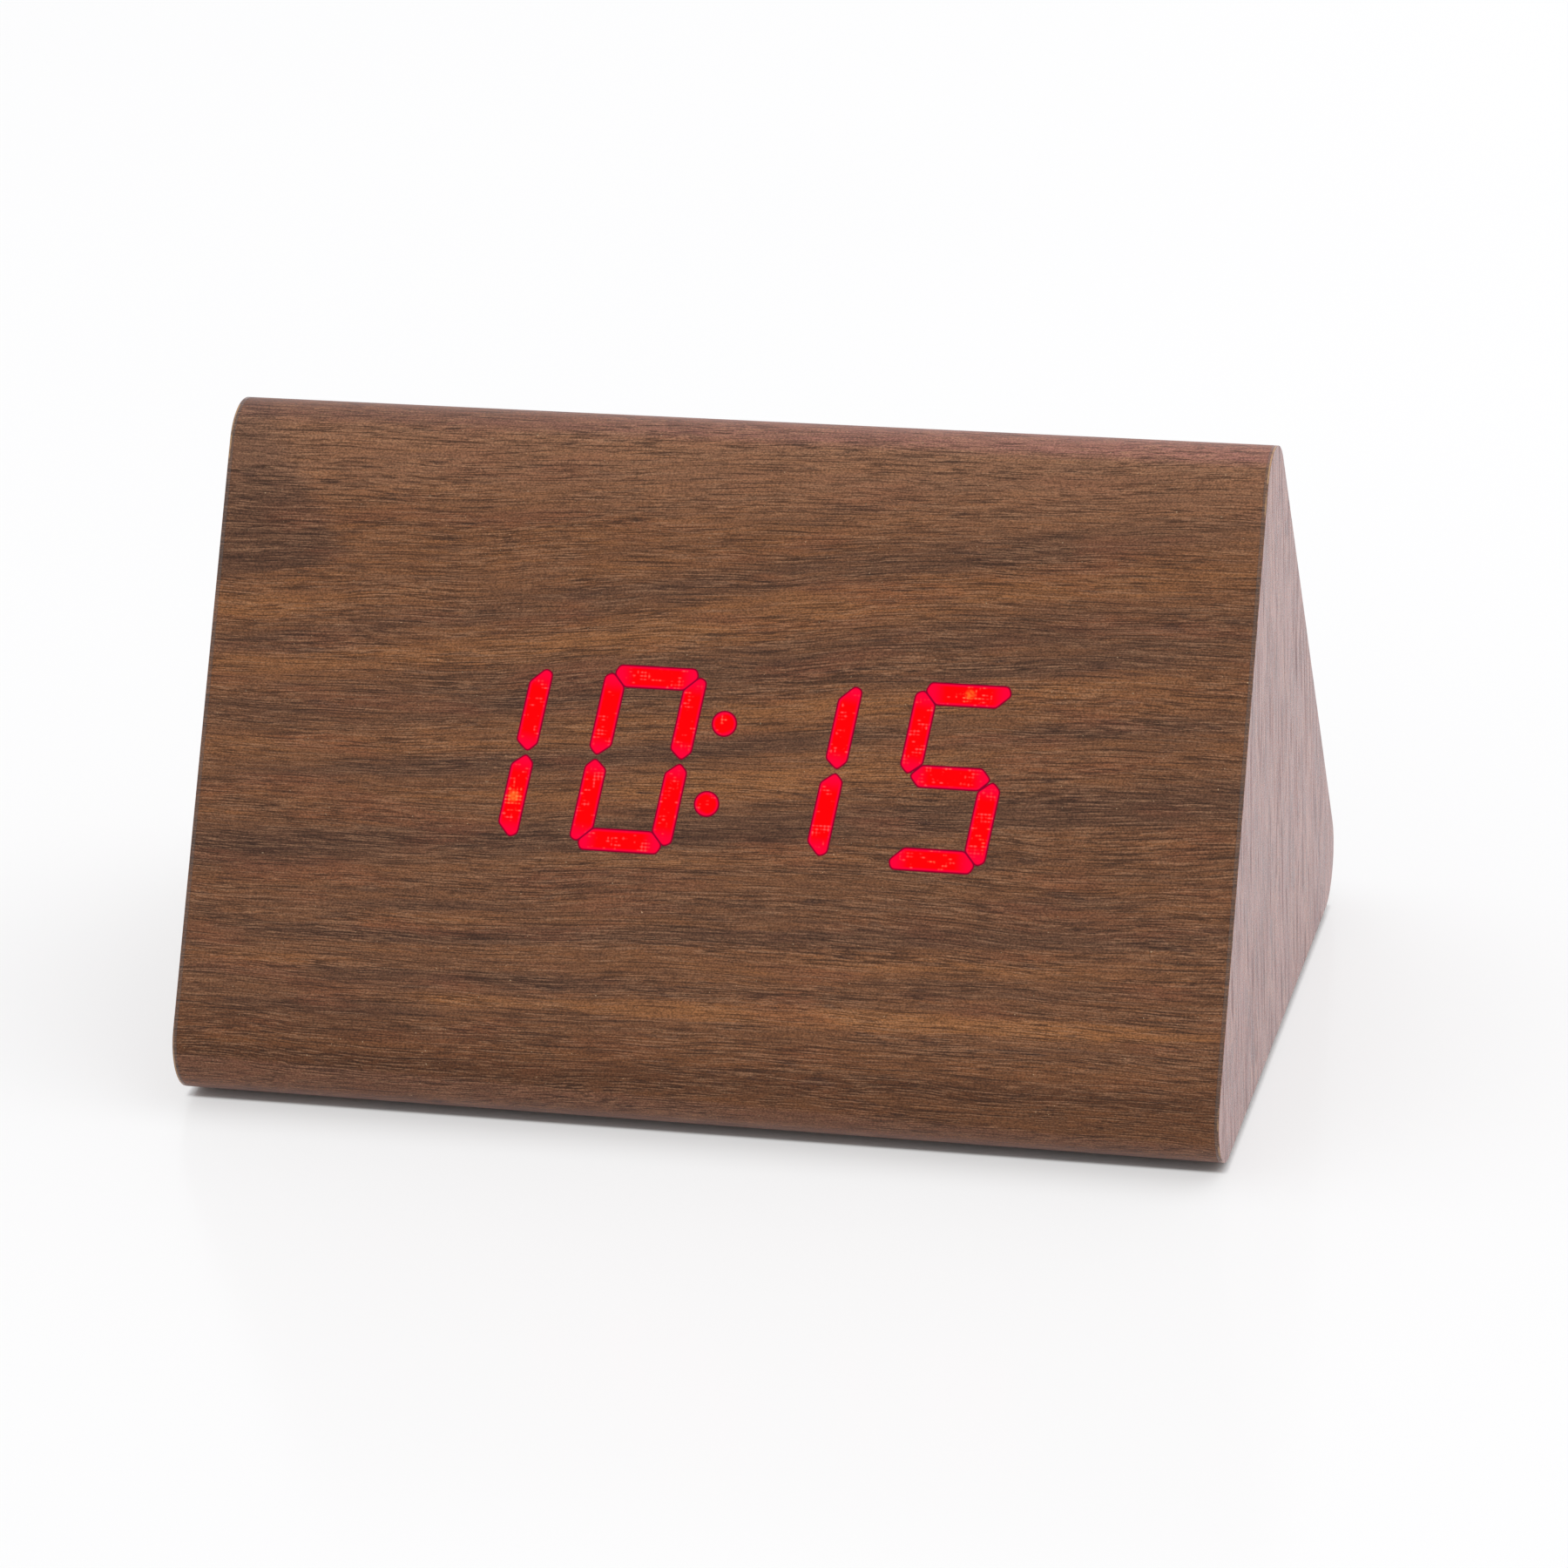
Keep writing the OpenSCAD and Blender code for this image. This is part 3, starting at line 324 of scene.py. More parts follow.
def white_room():
    """White to the camera, to reflections and through glass. As a light it fades to the horizon."""
    world = bpy.data.worlds.new("white_room")
    world.use_nodes = True
    tree = world.node_tree
    split = tree.nodes.new("ShaderNodeSeparateXYZ")
    tree.links.new(tree.nodes.new("ShaderNodeTexCoord").outputs["Generated"], split.inputs[0])
    sky = tree.nodes.new("ShaderNodeMapRange")
    sky.inputs["To Min"].default_value = HORIZON_LIGHT
    sky.inputs["To Max"].default_value = ZENITH_LIGHT
    tree.links.new(split.outputs["Z"], sky.inputs["Value"])
    level = tree.nodes.new("ShaderNodeMapRange")
    level.inputs["To Max"].default_value = 1.0
    tree.links.new(sky.outputs[0], level.inputs["To Min"])
    tree.links.new(background_rays(tree), level.inputs["Value"])
    tree.nodes["Background"].inputs["Color"].default_value = (1, 1, 1, 1)
    tree.links.new(level.outputs[0], tree.nodes["Background"].inputs["Strength"])
    return world


scene.world = white_room()
print("Room light", HORIZON_LIGHT, "at the horizon,", ZENITH_LIGHT, "overhead")

# %% Lamp
LAMP_AT = Vector((0.80, 0.25, 1.25))
LAMP_SIDE = 1.2
LAMP_POWER = 4.5

lamp = bpy.data.objects.new("soft_lamp", bpy.data.lights.new("soft_lamp", "AREA"))
lamp.data.shape = "SQUARE"
lamp.data.size = LAMP_SIDE
lamp.data.energy = LAMP_POWER
lamp.location = LAMP_AT
lamp.rotation_mode = "QUATERNION"
lamp.rotation_quaternion = (AIM - LAMP_AT).to_track_quat("-Z", "Y")
scene.collection.objects.link(lamp)
print("Lamp", LAMP_POWER, "W at", list(LAMP_AT))

# %% [markdown]
# ## Walnut film
#
# The film is a print of walnut on a thin embossed sheet. Seen close, it is made of short dark
# pores, 0.2 mm thick and a few millimetres long, with light dashes beside them and a fine
# speckle. Seen from a step away, it is made of soft bands. Noise that is stretched along the
# grain gives all of these, each layer at its own size. The grain doesn't run straight: it wavers,
# and on the front it climbs a little to the right, so the point is shifted across the grain before
# the noise is read. The emboss is lit from above, so each groove gets a painted highlight on its
# lower lip.

# %% Layers of walnut grain
# Lumps of each layer in millimetres: along the grain, then twice across it.
BROAD_BAND = (90, 6.5, 6.5)
NARROW_BAND = (32, 1.8, 1.8)
FIBRE = (6, 0.22, 0.22)
RED_PATCH = (14, 3, 3)
CLUSTER = (15, 2, 2)
PORE = (3.0, 0.13, 0.13)
LONG_LINE = (8, 0.15, 0.15)
LIGHT_DASH = (2.4, 0.14, 0.14)
BLOT = (4.5, 0.8, 0.8)
SPECK = (0.24, 0.16, 0.16)
DUST = (0.26, 0.22, 0.22)
# How far below each groove its painted highlight lies.
LIP_DROP = (0.0, 0.0, 0.15)
# Tones of the wood from dark to light, and the colours of what lies on it, with a painted highlight for
# the lips of the grooves.
WOOD_TONES = [
    (0.00, colour(80, 53, 40)),
    (0.28, colour(104, 71, 52)),
    (0.50, colour(126, 83, 55)),
    (0.72, colour(148, 97, 59)),
    (1.00, colour(172, 116, 73)),
]
RED_WOOD = colour(134, 80, 56)
BLOT_BROWN = colour(66, 48, 42)
DASH_TAN = colour(160, 116, 84)
PAINTED_LIP_HIGHLIGHT = colour(168, 126, 96)
GROOVE_BROWN = colour(52, 34, 26)
DUST_PALE = colour(206, 176, 140)


def grooves(finish, grain, cluster):
    """Short pores in clusters and long fine lines, as a share of darkness."""
    pore = finish.fade(finish.noise(grain, PORE, 0.8), 0.47, 0.36)
    line = finish.fade(finish.noise(grain, LONG_LINE, 0.5, shift=7.7), 0.40, 0.31)
    return finish.math("MAXIMUM", finish.math("MULTIPLY", pore, cluster), line)


def walnut(finish, grain, tone, tints=(), swing=0.36):
    """Walnut colour, relief and speckle at a point with its grain along X.

    The tone is darker towards 0, and the swing is how far the bands move it. Each tint is a share
    and a colour laid over the wood under its pores; some tints are painted sheen and painted reflections.
    """
    broad = finish.sway(finish.noise(grain, BROAD_BAND, 2.0), swing)
    narrow = finish.sway(finish.noise(grain, NARROW_BAND, 2.0), swing)
    fibre = finish.sway(finish.noise(grain, FIBRE, 2.0, 0.6), 0.55)
    wood = finish.ramp(finish.total(tone, broad, narrow, fibre), *WOOD_TONES)
    red = finish.fade(finish.noise(grain, RED_PATCH, 1.0, shift=9.4), 0.5, 0.7, 0.0, 0.35)
    wood = finish.mix(red, wood, RED_WOOD)
    # The tints include painted sheen and painted reflections.
    for share, tint_colour in tints:
        wood = finish.mix(share, wood, tint_colour)
    cluster = finish.fade(finish.noise(grain, CLUSTER, 1.5, shift=3.1), 0.36, 0.62, 0.4, 1.0)
    dark = grooves(finish, grain, cluster)
    # Painted highlight: the lower lip of each groove is painted lighter, as the emboss lit from above
    # would show it.
    beside = grooves(finish, finish.vector("ADD", grain, LIP_DROP), cluster)
    lip = finish.math("SUBTRACT", beside, dark)
    light = finish.fade(finish.noise(grain, LIGHT_DASH, 0.6, shift=5.3), 0.58, 0.70)
    speck = finish.noise(grain, SPECK, 1.0)
    blot = finish.fade(finish.noise(grain, BLOT, 1.5, shift=6.1), 0.38, 0.28, 0.0, 0.5)
    wood = finish.mix(finish.math("MULTIPLY", blot, cluster), wood, BLOT_BROWN)
    wood = finish.mix(finish.math("MULTIPLY", light, 0.3), wood, DASH_TAN)
    wood = finish.mix(finish.fade(lip, 0.1, 0.9, 0.0, 0.4), wood, PAINTED_LIP_HIGHLIGHT)
    wood = finish.mix(finish.math("MULTIPLY", dark, 0.66), wood, GROOVE_BROWN)
    dust = finish.noise(grain, DUST, 0.0, shift=1.9)
    wood = finish.mix(finish.fade(dust, 0.84, 0.90, 0.0, 0.6), wood, DUST_PALE)
    grey = finish.fade(speck, 0.25, 0.75, 0.64, 1.38)
    wood = finish.mix(1.0, wood, finish.join(grey, grey, grey), "MULTIPLY")
    relief = finish.total(0.6, finish.math("MULTIPLY", dark, -0.5), finish.sway(speck, 0.35))
    return wood, relief, speck


# %% [markdown]
# The front of this clock has marks of its own: a dark, greyish knot shadow in the upper left
# corner and long soft streaks that run the whole length. The pores lie almost level, but the
# streaks climb to the right, steeply in the upper half and hardly at all near the floor. So each
# streak is a long ellipse with feathered edges in a space where that climb is taken out, and its
# height is the one that it has in the middle of the face. A streak of less than no darkness is
# light. They add to the tone before the colour is chosen, so pores run through them as through
# the rest.

# %% Streaks of the front
# Each streak: place along the clock and up the slope, half length and half thickness in
# millimetres, and its darkness.
STREAKS = [
    (0.0, 20.2, 90.0, 1.6, 0.15),
    (36.0, 19.8, 16.0, 1.3, 0.12),
    (16.0, 21.9, 34.0, 1.2, 0.12),
    (-50.0, 18.2, 14.0, 1.5, 0.20),
    (0.0, 10.2, 90.0, 3.6, 0.21),
    (-18.0, 9.6, 14.0, 1.5, 0.10),
    (-24.0, 8.7, 6.0, 0.6, 0.21),
    (34.0, 6.8, 18.0, 1.6, 0.24),
    (52.0, 6.5, 16.0, 3.0, 0.12),
    (-16.0, 1.8, 46.0, 1.3, 0.30),
    (44.0, 0.0, 18.0, 1.2, 0.32),
    (0.0, -7.6, 90.0, 2.0, 0.32),
    (-54.0, -9.6, 16.0, 2.4, 0.27),
    (28.0, -12.2, 8.0, 1.3, 0.21),
    (8.0, -19.5, 60.0, 1.2, 0.25),
    (-36.0, -20.4, 20.0, 1.1, 0.18),
    (-34.0, -16.0, 16.0, 1.0, 0.14),
    (42.0, -16.4, 10.0, 1.0, 0.14),
    (30.0, -18.0, 26.0, 1.0, 0.07),
    (-30.0, -25.4, 30.0, 1.3, 0.23),
    (30.0, -24.2, 20.0, 1.0, 0.11),
    (-46.0, -29.8, 16.0, 1.1, 0.36),
    (-36.0, -32.0, 34.0, 1.3, 0.23),
    (-30.0, -35.8, 52.0, 1.3, 0.42),
    (34.0, -34.6, 42.0, 1.3, 0.48),
    (0.0, 16.0, 80.0, 2.2, -0.18),
    (0.0, 5.0, 80.0, 2.2, -0.16),
    (4.0, -2.4, 30.0, 1.9, -0.33),
    (-40.0, -2.0, 20.0, 1.6, -0.09),
    (16.0, -28.0, 50.0, 1.3, -0.40),
    (-28.0, -28.0, 8.0, 1.0, -0.20),
    (-32.0, -18.2, 14.0, 1.2, -0.14),
    (4.0, -22.4, 50.0, 1.2, -0.10),
    (-50.0, -23.8, 10.0, 1.0, -0.14),
    (5.0, -10.8, 30.0, 1.2, -0.11),
    (-55.0, 22.6, 12.0, 2.0, -0.18),
]
# The lower part of the front is darker, from one height down to the other.
LOWER_FADE = (10.0, -4.0, 0.0, -0.07)
# How far the streaks climb to each side of the middle, over which length and between which heights.
STREAK_CLIMB = 10.0
STREAK_SPAN = 90.0
LEVEL_BELOW = -40.0
STEEP_ABOVE = 15.0
# The knot shadow: a soft wedge that comes in from the left end, between two sides that meet at its tip.
KNOT_TIP = (-44.0, 21.0, 0.0)
KNOT_UPPER_SIDE = Vector((14.0, 10.0, 0.0)).normalized()
KNOT_LOWER_SIDE = Vector((3.5, -16.0, 0.0)).normalized()
KNOT_DARKNESS = 0.32


def front_streaks(finish, along, climb):
    """Tone that the knot shadow, the streaks and their fine bands give to a point on the front."""
    spot = finish.join(along, climb, 0.0)
    feather = finish.sway(finish.noise(spot, (9, 0.8, 1), 2.0, 0.6), 1.1)
    feathered = finish.vector("ADD", spot, finish.join(feather, feather, 0.0))
    from_tip = finish.vector("SUBTRACT", feathered, KNOT_TIP)
    upper = finish.fade(finish.vector("DOT_PRODUCT", from_tip, KNOT_UPPER_SIDE), 1.4, -2.8)
    lower = finish.fade(finish.vector("DOT_PRODUCT", from_tip, KNOT_LOWER_SIDE), 0.8, -1.6)
    tone = finish.math("MULTIPLY", finish.math("MULTIPLY", upper, lower), -KNOT_DARKNESS)
    tone = finish.total(tone, finish.fade(climb, *LOWER_FADE))
    sideways = finish.fade(along, -STREAK_SPAN, STREAK_SPAN, STREAK_CLIMB, -STREAK_CLIMB)
    level = finish.math("MULTIPLY", sideways, finish.fade(climb, LEVEL_BELOW, STEEP_ABOVE))
    drift = finish.sway(finish.noise(spot, (14, 2.5, 1), 1.5, shift=4.2), 14.0)
    spot = finish.join(finish.total(along, drift), finish.total(climb, level, feather), 0.0)
    tone = finish.total(tone, finish.sway(finish.noise(spot, (40, 1.4, 1), 2.0, shift=2.8), 0.30))
    for x, height, half_long, half_thick, darkness in STREAKS:
        ellipse = finish.tree.nodes.new("ShaderNodeMapping")
        ellipse.vector_type = "TEXTURE"
        finish.feed(ellipse.inputs["Vector"], spot)
        ellipse.inputs["Location"].default_value = (x, height, 0)
        ellipse.inputs["Scale"].default_value = (half_long, half_thick, 1)
        away = finish.vector("LENGTH", ellipse.outputs[0])
        tone = finish.total(tone, finish.fade(away, 1.35, 0.15, 0.0, -darkness))
    return tone


# %% Film round the front, back and base
# Depth behind the front plane where its own marks end, and where its rounded corners do.
FRONT_FADE = (-9.0, -2.0)
CORNER_FADE = (-8.5, -5.0)
# Marks on the front: the heights where one starts and is full, and its shares there.
# A painted sheen makes the top of the front lighter and pinker.
TOP_SHEEN_FADE = (24.0, 34.0, 0.0, 0.32)
PAINTED_TOP_SHEEN = colour(166, 122, 96)
# A painted rosy reflection on the rounded top edge, painted darker at the left end and lighter at the
# right.
EDGE_REFLECTION_FADE = (36.0, 37.6, 0.0, 0.5)
EDGE_REFLECTION_LEFT = colour(100, 64, 60)
EDGE_REFLECTION_RIGHT = colour(168, 112, 108)
# Darker and browner towards the bottom.
LOW_FADE = (-28.0, -34.0, 0.0, 0.5)
LOW_BROWN = colour(108, 66, 38)
# A painted reflection of the floor on the rounded foot, along a slightly slanted line.
FOOT_REFLECTION_FADE = (-37.2, -38.0, 0.0, 0.45)
FOOT_REFLECTION_SLANT = 0.018
PAINTED_FOOT_REFLECTION = colour(128, 88, 72)
# Climb of the pores to each side, over which half length, and round which height it fades out.
PORE_CLIMB = 3.5
PORE_SPAN = 75.0
PORE_HEIGHT = 14.0
PORE_REACH = 48.0


def round_film(finish, point):
    """Colour, relief and speckle of the film round the clock, at a point in millimetres."""
    along = finish.split(point)[0]
    climb = finish.math("SUBTRACT", finish.vector("DOT_PRODUCT", point, UP_FRONT), face_middle)
    out = finish.math("SUBTRACT", finish.vector("DOT_PRODUCT", point, OUT_FRONT), face_plane)
    front = finish.fade(out, *FRONT_FADE)
    far = finish.math("ABSOLUTE", finish.math("SUBTRACT", climb, PORE_HEIGHT))
    rise = finish.fade(along, -PORE_SPAN, PORE_SPAN, -PORE_CLIMB, PORE_CLIMB)
    rise = finish.math("MULTIPLY", rise, finish.fade(far, PORE_REACH, 0.0))
    rise = finish.math("MULTIPLY", rise, front)
    rise = finish.total(rise, finish.sway(finish.noise(point, (48, 16, 16), 1.0), 3.5))
    rise = finish.total(rise, finish.sway(finish.noise(point, (15, 6, 6), 1.0, shift=3.3), 1.0))
    grain = finish.vector("SUBTRACT", point, finish.vector("SCALE", UP_FRONT, scale=rise))
    streaks = finish.math("MULTIPLY", front_streaks(finish, along, climb), front)
    bands = finish.sway(finish.noise(grain, (80, 5, 5), 2.5, 0.55, 8.3), 1.5)
    elsewhere = finish.math("MULTIPLY", bands, finish.fade(front, 1.0, 0.0))
    tone = finish.total(0.5, streaks, elsewhere)
    swing = finish.fade(front, 0.0, 1.0, 0.36, 0.18)
    corner = finish.fade(out, *CORNER_FADE)
    # The top edge's painted reflection is darker at the left end and lighter at the right.
    painted_edge_reflection = finish.mix(finish.fade(along, -half_length, half_length), EDGE_REFLECTION_LEFT, EDGE_REFLECTION_RIGHT)
    slanted = finish.total(climb, finish.math("MULTIPLY", along, FOOT_REFLECTION_SLANT))
    # The tints are a painted sheen at the top, a painted reflection on the top edge and on the foot, and
    # a darker brown low down.
    tints = [
        (finish.math("MULTIPLY", finish.fade(climb, *TOP_SHEEN_FADE), front), PAINTED_TOP_SHEEN),
        (finish.math("MULTIPLY", finish.fade(climb, *EDGE_REFLECTION_FADE), corner), painted_edge_reflection),
        (finish.math("MULTIPLY", finish.fade(climb, *LOW_FADE), front), LOW_BROWN),
        (finish.math("MULTIPLY", finish.fade(slanted, *FOOT_REFLECTION_FADE), corner), PAINTED_FOOT_REFLECTION),
    ]
    return walnut(finish, grain, tone, tints, swing)


def film_sheen(finish, weight):
    """The rosy haze that the matt film shows where it turns away from the eye."""
    finish.shader.inputs["Sheen Weight"].default_value = weight
    finish.shader.inputs["Sheen Roughness"].default_value = 0.3
    finish.shader.inputs["Sheen Tint"].default_value = (1.0, 0.70, 0.76, 1.0)


def walnut_film():
    finish = Finish("walnut_film_round")
    wood, relief, speck = round_film(finish, finish.place())
    finish.bump(relief, 0.02)
    finish.set(Base_Color=wood, Roughness=finish.fade(speck, 0.2, 0.8, 0.40, 0.52))
    finish.shader.inputs["Specular IOR Level"].default_value = 0.15
    film_sheen(finish, 0.25)
    return finish.material


# %% [markdown]
# The ends have a sheet of their own, with the grain upright and coarser, and with fine hair lines
# that are matt. The print of the wrap runs on over the rim of that sheet, up to the corner. There
# the cut edge shows as a broken line of bare, beige film, at the top and near the floor.

# %% Film on the ends
HAIR_LINE = (9, 0.11, 0.2)
HAIR_BROWN = colour(46, 28, 30)
# A painted rosy reflection, laid over the end sheet's wood.
PAINTED_END_REFLECTION = colour(148, 100, 96)
BARE_BEIGE = colour(200, 158, 112)
# Painted shade: a grey that darkens the wrap's print on the end's rim, against the end sheet's stronger
# gloss.
RIM_PAINTED_SHADE = (0.7, 0.7, 0.7, 1.0)


def walnut_end():
    finish = Finish("walnut_film_end")
    point = finish.place()
    x, y, z = finish.split(point)
    bend = finish.sway(finish.noise(point, (20, 12, 40), 1.0), 1.2)
    grain = finish.join(z, finish.total(finish.math("MULTIPLY", y, 0.30), bend), x)
    # The end sheet's wood carries a painted rosy reflection at half share.
    wood, relief, speck = walnut(finish, grain, 0.58, [(0.5, PAINTED_END_REFLECTION)], 0.6)
    finish.bump(relief, 0.04)
    hair = finish.fade(finish.noise(grain, HAIR_LINE, 1.5, shift=2.6), 0.44, 0.36)
    wood = finish.mix(finish.math("MULTIPLY", hair, 0.5), wood, HAIR_BROWN)
    away = finish.math("ABSOLUTE", x)
    rim = finish.fade(away, half_length - 0.02, half_length - 0.07)
    heights = finish.math("MAXIMUM", finish.fade(z, 63.0, 68.0), finish.fade(z, 13.0, 5.0, 0.0, 0.8))
    broken = finish.fade(finish.noise(point, (0.6, 2.2, 2.2), 2.0), 0.42, 0.56)
    bare = finish.math("MULTIPLY", finish.fade(away, half_length - 0.24, half_length - 0.14), rim)
    bare = finish.math("MULTIPLY", finish.math("MULTIPLY", bare, heights), broken)
    # The wrap's print on the rim is painted darker, to offset the end sheet's stronger gloss.
    wrapped = finish.mix(1.0, round_film(finish, point)[0], RIM_PAINTED_SHADE, "MULTIPLY")
    wood = finish.mix(rim, wood, wrapped)
    finish.set(Base_Color=finish.mix(finish.math("MULTIPLY", bare, 0.8), wood, BARE_BEIGE))
    gloss = finish.fade(speck, 0.2, 0.8, 0.24, 0.36)
    finish.set(Roughness=finish.total(gloss, finish.math("MULTIPLY", hair, 0.26)))
    finish.shader.inputs["Specular IOR Level"].default_value = 0.6
    film_sheen(finish, 0.5)
    return finish.material


print("Walnut:", len(STREAKS), "streaks on the front")

# %% [markdown]
# ## Plain finishes
#
# The other pieces are plastic, metal, rubber, resin and board. None is one flat colour: moulded
# plastic has a fine spark-eroded texture, rubber is dusty, fibre board is made of fibres, and a
# circuit board shows its tracks under the green mask. One function makes the moulded and
# painted ones, and those with a pattern of their own get a function each.


# %% Moulded and painted finishes
def moulded(name, dark, light, roughness, grain_size, depth, specular=0.5, metallic=0.0):
    """A solid finish with a fine texture, between two colours."""
    finish = Finish(name)
    point = finish.place()
    fine = finish.noise(point, (grain_size,) * 3, 2.0, 0.6)
    cloud = finish.noise(point, (9, 9, 9), 2.0)
    share = finish.total(finish.sway(fine, 0.9), finish.sway(cloud, 0.7), 0.5)
    finish.set(Base_Color=finish.ramp(share, (0.25, dark), (0.75, light)))
    finish.set(Roughness=finish.fade(fine, 0.25, 0.75, roughness - 0.06, roughness + 0.06))
    finish.shader.inputs["Specular IOR Level"].default_value = specular
    finish.shader.inputs["Metallic"].default_value = metallic
    finish.bump(fine, depth)
    return finish.material


def fibre_board():
    """Raw board: pressed fibres, pale and dark, with no direction."""
    finish = Finish("fibre_board")
    point = finish.place()
    fibre = finish.noise(point, (1.6, 0.35, 0.35), 3.0, 0.7)
    cross = finish.noise(point, (0.35, 1.6, 1.6), 3.0, 0.7, 2.2)
    share = finish.math("MULTIPLY", finish.math("ADD", fibre, cross), 0.5)
    wood = finish.ramp(
        share, (0.34, colour(128, 92, 60)), (0.5, colour(176, 138, 98)), (0.66, colour(204, 172, 130))
    )
    finish.set(Base_Color=wood, Roughness=finish.fade(share, 0.3, 0.7, 0.75, 0.9))
    finish.bump(share, 0.05)
    return finish.material


def circuit_board():
    """Green mask with tracks under it and small tinned pads."""
    finish = Finish("circuit_board_green")
    point = finish.place()
    bricks = finish.tree.nodes.new("ShaderNodeTexBrick")
    finish.feed(bricks.inputs["Vector"], point)
    for name, value in (("Scale", 1.0), ("Mortar Size", 0.12), ("Brick Width", 4.6), ("Row Height", 1.3)):
        bricks.inputs[name].default_value = value
    track = bricks.outputs["Fac"]
    cloud = finish.noise(point, (7, 7, 7), 2.0)
    mask = finish.ramp(cloud, (0.3, colour(14, 84, 48)), (0.7, colour(22, 104, 58)))
    finish.set(Base_Color=finish.mix(track, mask, colour(58, 140, 78)))
    finish.set(Roughness=finish.fade(cloud, 0.3, 0.7, 0.28, 0.4))
    finish.bump(track, 0.04)
    return finish.material


CORE_PITCH = 1.27


def ribbon_sleeve():
    """Grey flat cable: a row of round cores."""
    finish = Finish("ribbon_cores")
    point = finish.place()
    core = finish.math("SINE", finish.math("MULTIPLY", finish.split(point)[0], 2 * math.pi / CORE_PITCH))
    cloud = finish.noise(point, (3, 3, 3), 2.0)
    share = finish.total(finish.math("MULTIPLY", core, 0.25), cloud)
    grey = finish.ramp(share, (0.3, colour(120, 122, 126)), (0.7, colour(168, 170, 174)))
    finish.set(Base_Color=grey, Roughness=finish.fade(cloud, 0.3, 0.7, 0.42, 0.55))
    finish.bump(finish.fade(core, -1.0, 1.0), 0.2)
    return finish.material


def light_resin(name, pale, warm, through):
    """Milky resin that passes some light."""
    finish = Finish(name)
    cloud = finish.noise(finish.place(), (1.5, 1.5, 1.5), 3.0)
    finish.set(Base_Color=finish.ramp(cloud, (0.3, warm), (0.7, pale)))
    finish.set(Roughness=finish.fade(cloud, 0.3, 0.7, 0.3, 0.42))
    finish.shader.inputs["Subsurface Weight"].default_value = through
    finish.shader.inputs["Subsurface Radius"].default_value = (0.002, 0.001, 0.001)
    finish.shader.inputs["Subsurface Scale"].default_value = 0.5
    return finish.material


print("Plain finishes ready")

# %% [markdown]
# ## Glowing film
#
# Where a figure is lit, light-emitting diodes shine through the thinned film. The middle of a
# segment is pure red, its rim is a little pinker and its outline is dark, a dimmer glow with the
# painted shade of the groove round it. The film's emboss lets more light through in tiny dashes
# that lie in rows, and the diode behind shows as a warmer spot. The material reads two values
# that each segment's mesh carries: how far a point is from the outline, and where it lies along
# the segment.

# %% Light in the film
# Warm spots: along the clock, up the slope, reach in millimetres, strength.
WARM_SPOTS = [
    (-22.6, -5.0, 2.6, 1.0),
    (28.6, 9.4, 2.2, 1.0),
    (31.6, -6.2, 1.8, 0.7),
    (26.4, -9.2, 2.4, 0.6),
    (1.0, 4.7, 0.9, 0.6),
    (-7.4, 9.3, 2.4, 0.25),
    (27.6, 0.3, 2.0, 0.4),
]
FLECK_WIDTH = 0.44
FLECK_HEIGHT = 0.40
CORE_RED = colour(255, 0, 4)
RIM_RED = colour(255, 0, 56)
# The dark outline: a dimmer glow with the painted shade of the groove round each segment.
OUTLINE_SHADE_RED = colour(140, 0, 42)
OUTLINE_SHADE_FADE = (0.26, 0.09)
FLECK_PINK = colour(255, 132, 132)
FLECK_GOLD = colour(255, 190, 110)
FLECK_SHARE = 0.36
HEART_AMBER = colour(255, 150, 54)
UNLIT_RED = colour(12, 0, 1)


